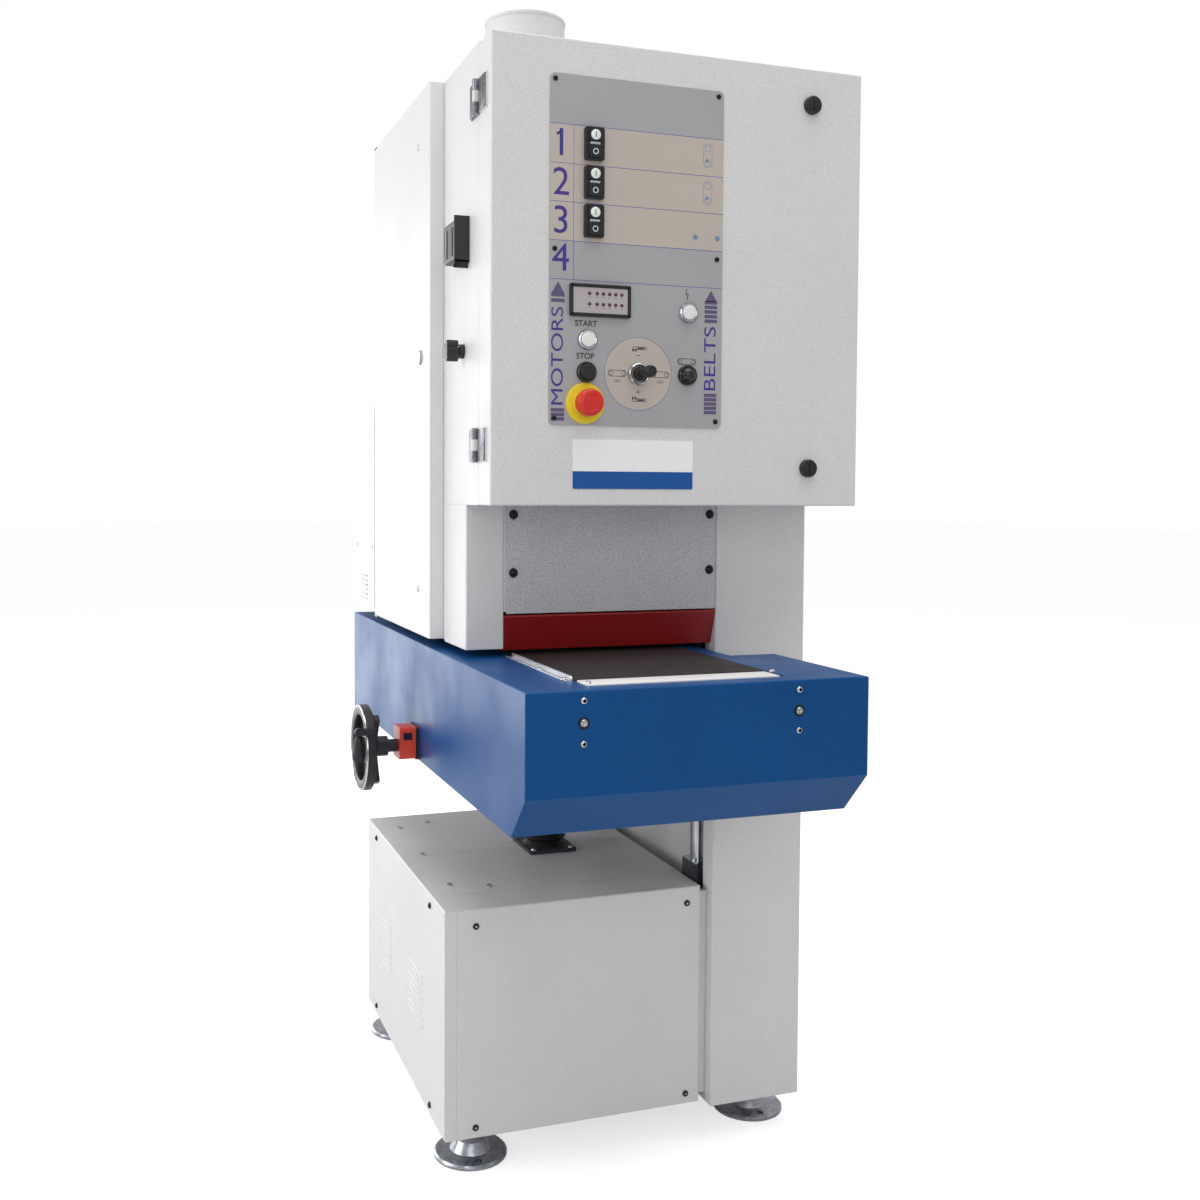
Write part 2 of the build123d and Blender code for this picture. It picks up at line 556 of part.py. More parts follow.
cover_d = 34.0
bore_d = 24.0
switch_w, switch_h = 30.0, 47.5
key_w, key_h = 20.0, 17.0
key_z = 12.0              # key centre from the middle of its switch
switch_y = panel_y - 7.0
with BuildPart() as panel_fittings:
    for z in switch_zs:
        block(switch_x - switch_w / 2, switch_x + switch_w / 2, switch_y, panel_y, z - switch_h / 2,
              z + switch_h / 2)
    fillet(panel_fittings.edges().filter_by(Axis.Y), 3)
    for z in switch_zs:
        block(switch_x - 13, switch_x + 13, panel_y, door_y0 + bore_d, z - 21, z + 21)
        for side in (1, -1):
            block(switch_x - key_w / 2 - run, switch_x + key_w / 2 + run, switch_y - 1, door_y0 + bore_d - 3,
                  z + side * key_z - key_h / 2 - run, z + side * key_z + key_h / 2 + run, mode=Mode.SUBTRACT)
    for x, z, r in push.values():
        bar_y(x, bezel_y, panel_y, z, bezel_r)
        bar_y(x, panel_y, door_y0 + bore_d, z, r + 1)
        bar_y(x, bezel_y - 1, door_y0 + bore_d - 3, z, r + run, mode=Mode.SUBTRACT)
    bar_y(estop_at[0], panel_y - 1.5, panel_y, estop_at[1], 30)
    bar_y(estop_at[0], panel_y - 1.5, door_y0 + bore_d, estop_at[1], 12)
    bar_y(estop_at[0], panel_y - 3, door_y0 + bore_d - 3, estop_at[1], estop_stem_r + run, mode=Mode.SUBTRACT)
    bar_y(stick_at[0], panel_y - 4, panel_y, stick_at[1], 16)
    bar_y(stick_at[0], panel_y - 4, door_y0 + bore_d, stick_at[1], 15)
    bar_y(stick_at[0], panel_y - 5, door_y0 + bore_d - 3, stick_at[1], 13, mode=Mode.SUBTRACT)
    block(head_x0 + 120, head_x0 + 214.5, panel_y - 4, panel_y, head_z0 + 278, head_z0 + 324)
    block(panel_x0 + 10, panel_x0 + panel_w - 10, door_y0 + pan, door_y0 + pan + cover_d, panel_z + 5,
          panel_z + panel_h - 60)
    block(panel_x0 + 12, panel_x0 + panel_w - 12, door_y0 + pan - 1, door_y0 + pan + cover_d - 2, panel_z + 7,
          panel_z + panel_h - 62, mode=Mode.SUBTRACT)
save(panel_fittings, "panel_fittings")

press = 3.0
for number, z in enumerate(switch_zs, 1):
    with BuildPart() as on_key:
        block(switch_x - key_w / 2, switch_x + key_w / 2, switch_y - press, door_y0 + 12,
              z + key_z - key_h / 2, z + key_z + key_h / 2)
        fillet(on_key.edges().filter_by(Axis.Y), 2)
    save(on_key, f"on_key_{number}")
    with BuildPart() as off_key:
        block(switch_x - key_w / 2, switch_x + key_w / 2, switch_y - press, door_y0 + 12,
              z - key_z - key_h / 2, z - key_z + key_h / 2)
        fillet(off_key.edges().filter_by(Axis.Y), 2)
    save(off_key, f"off_key_{number}")

for name, (x, z, r) in push.items():
    with BuildPart() as button:
        bar_y(x, bezel_y - press, door_y0 + 12, z, r)
        fillet(button.edges().filter_by(GeomType.CIRCLE).group_by(Axis.Y)[0], 1.5)
    save(button, name)

with BuildPart() as emergency_stop:
    bar_y(estop_at[0], panel_y - 30, panel_y - 12, estop_at[1], 20)
    fillet(emergency_stop.edges().filter_by(GeomType.CIRCLE).group_by(Axis.Y)[0], 6)
    bar_y(estop_at[0], panel_y - 12, door_y0 + 12, estop_at[1], estop_stem_r)
save(emergency_stop, "emergency_stop")

stick_y = panel_y + 6.0
with BuildPart() as stick_pivot:
    with Locations((stick_at[0], stick_y, stick_at[1])):
        Sphere(9.5)
    bar_z(stick_at[0], stick_y, stick_at[1] - 12, stick_at[1] + 12, 2.0 + run, mode=Mode.SUBTRACT)
    block(stick_at[0] - 6.6, stick_at[0] + 6.6, stick_y - 11, stick_y + 11, stick_at[1] - 4,
          stick_at[1] + 4, mode=Mode.SUBTRACT)
    bar_x(stick_at[0] - 12.5, stick_at[0] - 8, stick_y, stick_at[1], 2.0)
    bar_x(stick_at[0] + 8, stick_at[0] + 12.5, stick_y, stick_at[1], 2.0)
save(stick_pivot, "stick_pivot")

with BuildPart() as joystick:
    with BuildSketch(Plane.XY):
        with BuildLine():
            Polyline((0, 0), (3.2, 0), (3.2, 16), (6, 18), (8.5, 54), (6.5, 58), (0, 58), (0, 0))
        make_face()
    revolve(axis=Axis.Y)
joystick.part = joystick.part.rotate(Axis.Z, 180).moved(Location((stick_at[0], stick_y, stick_at[1])))
save(joystick, "joystick")

for name, z in zip(("lower", "upper"), lock_zs):
    with BuildPart() as door_lock:
        bar_y(lock_x, door_y0 - 9, door_y0 - ease, z, 14)
        fillet(door_lock.edges().filter_by(GeomType.CIRCLE).group_by(Axis.Y)[0], 3)
        bar_y(lock_x, door_y0 - 1, door_y0 + 20, z, lock_r)
        block(lock_x, lock_x + 40, door_y0 + 16, door_y0 + 19, z - 8, z + 8)
    save(door_lock, f"door_lock_{name}")

with BuildPart() as hinge_fixed:
    for z in hinge_zs:
        block(head_x0 - leaf_t, head_x0, head_y0 + 0.5, head_y0 + 36, z - leaf_h / 2, z + leaf_h / 2)
        for low in (z - leaf_h / 2, z + third / 2):
            bar_z(hinge_x, head_y0, low, low + third, knuckle_r)
            block(hinge_x, head_x0, head_y0 + 0.5, head_y0 + knuckle_r, low, low + third)
        block(hinge_x - knuckle_r - 1, head_x0 + 1, head_y0 - 7, head_y0 + 8, z - third / 2 - 0.5,
              z + third / 2 + 0.5, mode=Mode.SUBTRACT)
        bar_z(hinge_x, head_y0, z - leaf_h / 2, z + leaf_h / 2, hinge_pin_r)
    bar_x(head_x0 + pillar_w, column_x0, guard_y, guard_z, 1.5)
    block(side_x0, head_x0 + 28, pivot_y - 12, side_y1 - 1, side_door_z0 - 3, side_door_z0)
    bar_z(pivot_x + 3, pivot_y, side_door_z0, side_door_z0 + 7, pivot_r)
    block(side_x0, head_x0 + 28, pivot_y - 12, side_y1 - 1, side_z1 + ease, side_z1 + ease + 3)
    block(head_x0 + 2, head_x0 + 28, pivot_y - 12, side_y1 - 1, head_z1, side_z1 + ease)
    bar_z(pivot_x + 3, pivot_y, side_z1 - 7, side_z1 + ease, pivot_r)
save(hinge_fixed, "hinge_fixed")

knob_y, knob_z = head_y0 + 84.0, head_z0 + 236.0
with BuildPart() as interlock_switch:
    block(head_x0 - 20, head_x0, head_y0 + 56, head_y0 + 124, head_z0 + 373, head_z0 + 433)
    fillet(interlock_switch.edges().filter_by(Axis.Y).group_by(Axis.X)[0], 4)
    block(head_x0 - 24, head_x0, head_y0 + 50, head_y0 + 53, head_z0 + 367, head_z0 + 436)
    block(head_x0 - 3, head_x0, head_y0 + 50, head_y0 + 56, head_z0 + 367, head_z0 + 436)
    bar_x(head_x0 - 8, head_x0, knob_y, knob_z, 11)
    bar_x(head_x0 - 9, head_x0 + 1, knob_y, knob_z, 5 + run, mode=Mode.SUBTRACT)
save(interlock_switch, "interlock_switch")

with BuildPart() as valve_knob:
    bar_x(head_x0 - 14, head_x0 - 0.5, knob_y, knob_z, 5)
    bar_x(head_x0 - 29, head_x0 - 11, knob_y, knob_z, 12)
    for turn in range(3):
        with Locations((head_x0 - 20, knob_y, knob_z)):
            with Locations(Location((0, 0, 0), (120 * turn, 0, 0))):
                with Locations((0, 12, 0)):
                    Cylinder(6, 18, rotation=(0, 90, 0))
save(valve_knob, "valve_knob")

# ---------------------------------------------------------------- table
inner_z1 = table_z - sheet
with BuildPart() as table_cover:
    with BuildSketch(Plane.YZ.offset(table_x0)):
        with BuildLine():
            Polyline((table_y0, table_z), (table_y0, table_z0 + nose_z), (table_y0 + nose_y, table_z0),
                     (table_y1, table_z0), (table_y1, table_z), (table_y0, table_z))
        make_face()
    extrude(amount=wing_x1 - table_x0)
    block(table_x1, wing_x1 + 1, wing_y1, table_y1 + 1, table_z0 - 1, table_z + 1, mode=Mode.SUBTRACT)
    fillet(table_cover.edges().group_by(Axis.Z)[-1], 2.5)
    with BuildSketch(Plane.YZ.offset(table_x0 + sheet)):
        with BuildLine():
            Polyline((table_y0 + sheet, inner_z1), (table_y0 + sheet, table_z0 + nose_z + 1.2),
                     (table_y0 + nose_y + 1.4, table_z0), (table_y0 + nose_y + 1.4, table_z0 - 1),
                     (table_y1 - sheet, table_z0 - 1), (table_y1 - sheet, inner_z1),
                     (table_y0 + sheet, inner_z1))
        make_face()
    extrude(amount=table_x1 - table_x0 - 2 * sheet, mode=Mode.SUBTRACT)
    with BuildSketch(Plane.YZ.offset(table_x1 - sheet - 1)):
        with BuildLine():
            Polyline((table_y0 + sheet, inner_z1), (table_y0 + sheet, table_z0 + nose_z + 1.2),
                     (table_y0 + nose_y + 1.4, table_z0), (table_y0 + nose_y + 1.4, table_z0 - 1),
                     (wing_y1 - sheet, table_z0 - 1), (wing_y1 - sheet, inner_z1),
                     (table_y0 + sheet, inner_z1))
        make_face()
    extrude(amount=wing_x1 - table_x1 + 1, mode=Mode.SUBTRACT)
    block(belt_x0 - 2, belt_x1 + 2, table_y0 + 39, table_y1 - 15, inner_z1 - 1, table_z + 1,
          mode=Mode.SUBTRACT)
    bar_x(table_x0 - 1, table_x0 + sheet + 1, wheel_y, wheel_z, wheel_shaft_r + 1, mode=Mode.SUBTRACT)
    for y in rod_ys:
        block(table_x1 - sheet - 1, table_x1 + 1, y - 17, y + 17, feed_z - 76, feed_z + 2, mode=Mode.SUBTRACT)
    # screws of the idle roller's brackets
    for x in (belt_x0 - 16.5, belt_x1 + 1.5):
        for z in (table_z - 13.5, table_z - 70):
            bar_y(x, table_y0 - 2.9, table_y0 + 1, z, 2.3)
save(table_cover, "table_cover")

cross_z0 = table_z0 + 46.5
with BuildPart() as table_frame:
    for x0, x1 in ((frame_x0, frame_x0 + frame_t), (frame_x1 - frame_t, frame_x1)):
        block(x0, x1, feed_ys[0] - 30, feed_ys[1] + 30, cross_z0, inner_z1)
        for y in feed_ys:
            bar_x(x0 - 1, x1 + 1, y, feed_z, feed_shaft_r + run, mode=Mode.SUBTRACT)
    block(frame_x0 + frame_t, frame_x1 - frame_t, wheel_y - 24, jack_y + 78, cross_z0, cross_z0 + 12)
    bar_z(jack_x, jack_y, cross_z0 - 1, cross_z0 + 13, spindle_r + run, mode=Mode.SUBTRACT)
    block(frame_x0 + frame_t, frame_x1 - frame_t, feed_ys[0] + feed_r + 6, feed_ys[1] - feed_r - 6,
          inner_z1 - 5, inner_z1)
    for y in rod_ys:
        block(frame_x1, web_x0 - 3, y - 15, y + 15, feed_z - 72.7, feed_z - 2.7)
        block(column_x0 - 15.6, web_x0 - 2, y - 22, y + 22, feed_z - 87.7, feed_z + 7)
        bar_z(rod_x, y, feed_z - 90, feed_z + 10, rod_r + run, mode=Mode.SUBTRACT)
    # gear case of the table lift, under the cross plate
    block(jack_x - 78, jack_x + 78, wheel_y - 22, jack_y + 76, table_z0 + 1.5, cross_z0)
    block(jack_x - 73, jack_x + 73, wheel_y - 17, jack_y + 71, table_z0 + 6.5, cross_z0,
          mode=Mode.SUBTRACT)
    bar_z(jack_x, jack_y, table_z0, table_z0 + 10, spindle_r + 1, mode=Mode.SUBTRACT)
    bar_x(jack_x - 80, jack_x - 70, wheel_y, wheel_z, wheel_shaft_r + run, mode=Mode.SUBTRACT)
    # gear motor of the conveyor, on the left side plate
    block(frame_x0 - 72, frame_x0, feed_ys[1] - 42, feed_ys[1] + 42, feed_z - 42, feed_z + 38)
    bar_x(frame_x0 - 45, frame_x0 + 1, feed_ys[1], feed_z, feed_shaft_r + run, mode=Mode.SUBTRACT)
    bar_y(frame_x0 - 38, feed_ys[1] - 200, feed_ys[1] - 42, feed_z, 33)
save(table_frame, "table_frame")

for name, y in zip(("idle", "drive"), feed_ys):
    with BuildPart() as feed_roller:
        bar_x(belt_x0 + 2, belt_x1 - 2, y, feed_z, feed_r)
        bar_x(frame_x0 - (40 if name == "drive" else 3), frame_x1 + 3, y, feed_z, feed_shaft_r)
    save(feed_roller, f"{name}_roller")

with BuildPart() as conveyor_belt:
    with BuildSketch(Plane.YZ.offset(belt_x0)):
        with Locations(*[(y, feed_z) for y in feed_ys]):
            Circle(feed_r + belt_ease + feed_t)
        make_hull()
    extrude(amount=work_width)
    with BuildSketch(Plane.YZ.offset(belt_x0)):
        with Locations(*[(y, feed_z) for y in feed_ys]):
            Circle(feed_r + belt_ease)
        make_hull()
    extrude(amount=work_width, mode=Mode.SUBTRACT)
save(conveyor_belt, "conveyor_belt")

# lift: handwheel, cross-helical gears, screw and nut
shaft_x1 = jack_x + 30
hub_x0 = table_x0 - 70
screw_low = base_z1 - 110
with BuildPart() as lift_screw:
    bar_z(jack_x, jack_y, screw_low, cross_z0 + 12, spindle_r)
    bar_z(jack_x, jack_y, wheel_z - 11, wheel_z + 11, gear_r)
save(lift_screw, "lift_screw")

with BuildPart() as lift_nut:
    block(jack_x - flange_w / 2, jack_x + flange_w / 2, jack_y - flange_d / 2, jack_y + flange_d / 2,
          base_z1, base_z1 + flange_t)
    fillet(lift_nut.edges().filter_by(Axis.Z), 6)
    bar_z(jack_x, jack_y, base_z1 - 45, base_z1, nut_r)
    bar_z(jack_x, jack_y, base_z1 - 50, base_z1 + 10, spindle_r + run, mode=Mode.SUBTRACT)
save(lift_nut, "lift_nut")

bellows_r = 40.0
folds = 14
bellows_z0 = base_z1 + flange_t
fold_h = (table_z0 + 1.5 - bellows_z0) / folds
with BuildPart() as lift_bellows:
    with BuildSketch(Plane.XZ):
        with BuildLine():
            outside = [(bellows_r - (8 if k % 2 else 0), bellows_z0 + k * fold_h / 2) for k in range(2 * folds + 1)]
            inside = [(r - 3, z) for r, z in reversed(outside)]
            Polyline(*outside, *inside, close=True)
        make_face()
    revolve(axis=Axis.Z)
lift_bellows.part = lift_bellows.part.moved(Location((jack_x, jack_y, 0)))
save(lift_bellows, "lift_bellows")

indicator_w = 33.0
with BuildPart() as position_indicator:
    block(table_x0 - indicator_w, table_x0 - 5, wheel_y - 24, wheel_y + 24, wheel_z - 21, wheel_z + 33)
    fillet(position_indicator.edges().filter_by(Axis.X), 5)
    block(table_x0 - 5, table_x0, wheel_y - 25, wheel_y + 25, wheel_z - 22, wheel_z + 34)
    bar_x(table_x0 - indicator_w - 1, table_x0 + 1, wheel_y, wheel_z, wheel_shaft_r + run, mode=Mode.SUBTRACT)
save(position_indicator, "position_indicator")

grip_len = 57.0
grip_root_r = 7.0
grip_pin_r = 3.0
rim_x = hub_x0 - 20
rim_r = 8.0
rim_half = 7.5
rim_at = wheel_r - rim_r
grip_x = rim_x - rim_r - 13
grip_y = wheel_y - rim_at
grip_z = wheel_z + 38.0
with BuildPart() as handwheel:
    bar_x(rim_x - rim_half, rim_x + rim_half, wheel_y, wheel_z, wheel_r)
    bar_x(rim_x - rim_r, rim_x + rim_r, wheel_y, wheel_z, rim_at - rim_r, mode=Mode.SUBTRACT)
    chamfer(handwheel.edges().filter_by(GeomType.CIRCLE), 2.5)
    bar_x(hub_x0, hub_x0 + 20, wheel_y, wheel_z, 17)
    for turn in (0, 120, 240):
        with BuildSketch(Plane((hub_x0, wheel_y, wheel_z), x_dir=(0, 1, 0), z_dir=(-1, 0, 0))):
            with PolarLocations((rim_at + 12) / 2, 1, start_angle=turn):
                Rectangle(rim_at - 12, 14)
        extrude(amount=hub_x0 - rim_x - rim_r / 2)
    bar_x(hub_x0 + 4, shaft_x1, wheel_y, wheel_z, wheel_shaft_r)
    bar_x(jack_x - 22, jack_x + 22, wheel_y, wheel_z, pinion_r)
    # fork for the fold-away grip, with its pin across it
    for side in (-1, 1):
        y0, y1 = sorted((grip_y + side * 4.3, grip_y + side * 7))
        block(grip_x - 5, rim_x + 3, y0, y1, grip_z - 5, grip_z + 5)
    block(grip_x + 12, rim_x + 3, grip_y - 7, grip_y + 7, grip_z - 5, grip_z + 5)
    block(rim_x - 5, rim_x + 3, grip_y - 5, grip_y + 5, wheel_z - 2, grip_z + 2)
    bar_y(grip_x, grip_y - 7, grip_y + 7, grip_z, grip_pin_r)
save(handwheel, "handwheel")

# the fold-away grip hangs from the fork's pin by its narrow end
with BuildPart() as wheel_grip:
    bar_y(grip_x, grip_y - 4, grip_y + 4, grip_z, grip_root_r)
    with BuildSketch(Plane.XZ):
        with BuildLine():
            Polyline((0, -4), (6, -8), (7, -12), (11, 16 - grip_len), (8, 8 - grip_len), (0, 8 - grip_len),
                     (0, -4))
        make_face()
    grip_cone = revolve(axis=Axis.Z, mode=Mode.PRIVATE)
    add(grip_cone.moved(Location((grip_x, grip_y, grip_z))))
    bar_y(grip_x, grip_y - 5, grip_y + 5, grip_z, grip_pin_r + run, mode=Mode.SUBTRACT)
save(wheel_grip, "wheel_grip")

# ---------------------------------------------------------------- screws
with BuildPart() as frame_screws:
    for x in (shell_x0 + 31, base_x1 - 24):
        for z in (base_z0 + 16.5, base_z1 - 27.5):
            bar_y(x, base_y0 - 2.5, base_y0, z, 4.5)
    for y in (-233, 184):
        for z in (base_z0 + 18, base_z1 - 18):
            bar_x(base_x0 - 2.5, base_x0, y, z, 4.5)
    for x, y in ((76, 203), (15, 177.5), (14, -8), (14.5, -195), (76, -220), (406, -234)):
        bar_z(head_x0 + x, y, base_z1, base_z1 + 3, 4.5)
    for x in (entry_x0 + 11, entry_x1 - 11):
        for z in (panel_z0 + 66, panel_z0 + 157):
            bar_y(x, chamber_y0 - 3, chamber_y0, z, 5.5)
    for y in (head_y1 + 21, head_y1 + 174):
        bar_x(box_x0 - 2, box_x0, y, box_z0 + 119, 4.5)
save(frame_screws, "frame_screws")
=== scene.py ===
"""Looks of the drum sander: finishes for every CAD node, and the small fittings that only Blender makes."""

import math

import bpy
from mathutils import Matrix, Vector


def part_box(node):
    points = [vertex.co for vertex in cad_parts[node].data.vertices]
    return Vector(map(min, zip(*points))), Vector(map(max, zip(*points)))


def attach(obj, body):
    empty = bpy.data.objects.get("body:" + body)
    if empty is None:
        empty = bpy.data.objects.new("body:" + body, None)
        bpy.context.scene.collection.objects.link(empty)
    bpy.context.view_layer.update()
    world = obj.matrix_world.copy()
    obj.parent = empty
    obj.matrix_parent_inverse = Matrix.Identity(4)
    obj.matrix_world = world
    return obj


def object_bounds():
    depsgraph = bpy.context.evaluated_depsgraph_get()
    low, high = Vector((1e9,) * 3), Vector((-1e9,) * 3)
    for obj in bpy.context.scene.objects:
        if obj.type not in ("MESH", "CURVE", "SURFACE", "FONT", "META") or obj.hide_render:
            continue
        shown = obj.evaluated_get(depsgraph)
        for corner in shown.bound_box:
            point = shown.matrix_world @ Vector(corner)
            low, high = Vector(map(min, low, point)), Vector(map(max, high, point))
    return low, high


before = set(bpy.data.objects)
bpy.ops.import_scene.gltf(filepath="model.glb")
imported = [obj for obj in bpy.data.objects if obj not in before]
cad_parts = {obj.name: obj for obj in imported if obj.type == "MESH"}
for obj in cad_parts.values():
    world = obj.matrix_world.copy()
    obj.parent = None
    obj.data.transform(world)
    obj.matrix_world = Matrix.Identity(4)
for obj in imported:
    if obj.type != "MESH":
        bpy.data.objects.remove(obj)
cad_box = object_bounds()
MM = 0.001

# ---------------------------------------------------------------- levelling feet
# Four turned steel pads on threaded stems with lock nuts, zinc plated, each with two anchor
# holes. The plating is bright with a faint cloudy bloom and turning marks.


def shade(red, green, blue):
    """A colour given as it looks, from 0 to 255, as the linear values that a shader takes."""
    linear = [c / 255 / 12.92 if c < 10.3 else ((c / 255 + 0.055) / 1.055) ** 2.4 for c in (red, green, blue)]
    return (*linear, 1.0)


def new_group(name, inputs, outputs):
    """An empty node group with its sockets, its input node and its output node."""
    tree = bpy.data.node_groups.new(name, "ShaderNodeTree")
    for label, kind, value in inputs:
        tree.interface.new_socket(label, in_out="INPUT", socket_type=kind).default_value = value
    for label, kind in outputs:
        tree.interface.new_socket(label, in_out="OUTPUT", socket_type=kind)
    return tree, tree.nodes.new("NodeGroupInput"), tree.nodes.new("NodeGroupOutput")


def place(tree, kind, settings=(), **values):
    """A node in a tree, with its properties and its input values set."""
    node = tree.nodes.new(kind)
    for key, value in dict(settings).items():
        setattr(node, key, value)
    for key, value in values.items():
        node.inputs[key.replace("_", " ")].default_value = value
    return node


def mix_colours(tree, share, first, second, blend="MIX"):
    """Two colours mixed. Each input is a socket or a plain value."""
    node = place(tree, "ShaderNodeMix", {"data_type": "RGBA", "blend_type": blend})
    for index, value in ((0, share), (6, first), (7, second)):
        if isinstance(value, bpy.types.NodeSocket):
            tree.links.new(value, node.inputs[index])
        else:
            node.inputs[index].default_value = value
    return node.outputs[2]


def remap(tree, value, low, high, to_low, to_high):
    """A value moved from one range to another, clamped. The ends are sockets or plain numbers."""
    node = place(tree, "ShaderNodeMapRange")
    tree.links.new(value, node.inputs["Value"])
    for label, end in (("From Min", low), ("From Max", high), ("To Min", to_low), ("To Max", to_high)):
        if isinstance(end, bpy.types.NodeSocket):
            tree.links.new(end, node.inputs[label])
        else:
            node.inputs[label].default_value = end
    return node.outputs["Result"]


def grain_group():
    """Fine grain with flecks and a slow cloud over it, for paint, plastic, rubber and castings."""
    tree, given, result = new_group(
        "surface_grain",
        [("Colour", "NodeSocketColor", (0.8, 0.8, 0.8, 1)), ("Fleck", "NodeSocketColor", (0.5, 0.5, 0.5, 1)),
         ("Scale", "NodeSocketFloat", 900.0), ("Flecks", "NodeSocketFloat", 0.3), ("Cloud",
                 "NodeSocketFloat", 0.1),
         ("Smooth", "NodeSocketFloat", 0.35), ("Rough", "NodeSocketFloat", 0.5)],
        [("Colour", "NodeSocketColor"), ("Roughness", "NodeSocketFloat"), ("Height", "NodeSocketFloat")])
    where = place(tree, "ShaderNodeTexCoord").outputs["Object"]
    fine = place(tree, "ShaderNodeTexNoise", Detail=3.0, Roughness=0.6)
    coarse = place(tree, "ShaderNodeTexNoise", Scale=7.0, Detail=4.0, Roughness=0.55)
    tree.links.new(where, fine.inputs["Vector"])
    tree.links.new(where, coarse.inputs["Vector"])
    tree.links.new(given.outputs["Scale"], fine.inputs["Scale"])
    flecks = remap(tree, fine.outputs["Fac"], 0.48, 0.66, 0.0, given.outputs["Flecks"])
    speckled = mix_colours(tree, flecks, given.outputs["Colour"], given.outputs["Fleck"])
    cloud = remap(tree, coarse.outputs["Fac"], 0.35, 0.7, 0.0, given.outputs["Cloud"])
    tree.links.new(mix_colours(tree, cloud, speckled, (0, 0, 0, 1)), result.inputs["Colour"])
    rough = remap(tree, coarse.outputs["Fac"], 0.3, 0.7, given.outputs["Smooth"], given.outputs["Rough"])
    tree.links.new(rough, result.inputs["Roughness"])
    tree.links.new(fine.outputs["Fac"], result.inputs["Height"])
    return tree


def worn_edge_group():
    """A mask of the outside edges, broken up by noise, for a painted highlight where a fold catches light."""
    tree, given, result = new_group(
        "painted_edge_highlight",
        [("Width", "NodeSocketFloat", 0.002), ("Amount", "NodeSocketFloat", 0.5)],
        [("Mask", "NodeSocketFloat"), ("Normal", "NodeSocketVector")])
    where = place(tree, "ShaderNodeTexCoord").outputs["Object"]
    soft = place(tree, "ShaderNodeBevel", {"samples": 4})
    tree.links.new(given.outputs["Width"], soft.inputs["Radius"])
    flat = place(tree, "ShaderNodeNewGeometry").outputs["Normal"]
    meet = place(tree, "ShaderNodeVectorMath", {"operation": "DOT_PRODUCT"})
    tree.links.new(soft.outputs["Normal"], meet.inputs[0])
    tree.links.new(flat, meet.inputs[1])
    edge = remap(tree, meet.outputs["Value"], 0.995, 0.80, 0.0, given.outputs["Amount"])
    broken = place(tree, "ShaderNodeTexNoise", Scale=60.0, Detail=4.0)
    tree.links.new(where, broken.inputs["Vector"])
    gaps = remap(tree, broken.outputs["Fac"], 0.35, 0.6, 0.35, 1.0)
    both = place(tree, "ShaderNodeMath", {"operation": "MULTIPLY"})
    tree.links.new(edge, both.inputs[0])
    tree.links.new(gaps, both.inputs[1])
    tree.links.new(both.outputs[0], result.inputs["Mask"])
    tree.links.new(soft.outputs["Normal"], result.inputs["Normal"])
    return tree


def brushed_group():
    """Fine lines along one axis, for turned, drawn and plated metal."""
    tree, given, result = new_group(
        "drawn_lines",
        [("Colour", "NodeSocketColor", (0.6, 0.6, 0.6, 1)), ("Shadow", "NodeSocketColor", (0.3, 0.3, 0.3, 1)),
         ("Stretch", "NodeSocketVector", (60.0, 60.0, 900.0)), ("Smooth", "NodeSocketFloat", 0.15),
         ("Rough", "NodeSocketFloat", 0.4)],
        [("Colour", "NodeSocketColor"), ("Roughness", "NodeSocketFloat"), ("Height", "NodeSocketFloat")])
    where = place(tree, "ShaderNodeTexCoord").outputs["Object"]
    scaled = place(tree, "ShaderNodeVectorMath", {"operation": "MULTIPLY"})
    tree.links.new(where, scaled.inputs[0])
    tree.links.new(given.outputs["Stretch"], scaled.inputs[1])
    lines = place(tree, "ShaderNodeTexNoise", Scale=1.0, Detail=4.0, Roughness=0.6)
    cloud = place(tree, "ShaderNodeTexNoise", Scale=25.0, Detail=3.0)
    tree.links.new(scaled.outputs["Vector"], lines.inputs["Vector"])
    tree.links.new(where, cloud.inputs["Vector"])
    share = remap(tree, lines.outputs["Fac"], 0.4, 0.7, 0.0, 0.6)
    lined = mix_colours(tree, share, given.outputs["Colour"], given.outputs["Shadow"])
    bloom = remap(tree, cloud.outputs["Fac"], 0.4, 0.75, 0.0, 0.35)
    tree.links.new(mix_colours(tree, bloom, lined, given.outputs["Shadow"]), result.inputs["Colour"])
    rough = remap(tree, cloud.outputs["Fac"], 0.3, 0.7, given.outputs["Smooth"], given.outputs["Rough"])
    tree.links.new(rough, result.inputs["Roughness"])
    tree.links.new(lines.outputs["Fac"], result.inputs["Height"])
    return tree


SURFACE_GRAIN = grain_group()
PAINTED_EDGE_HIGHLIGHT = worn_edge_group()
DRAWN_LINES = brushed_group()


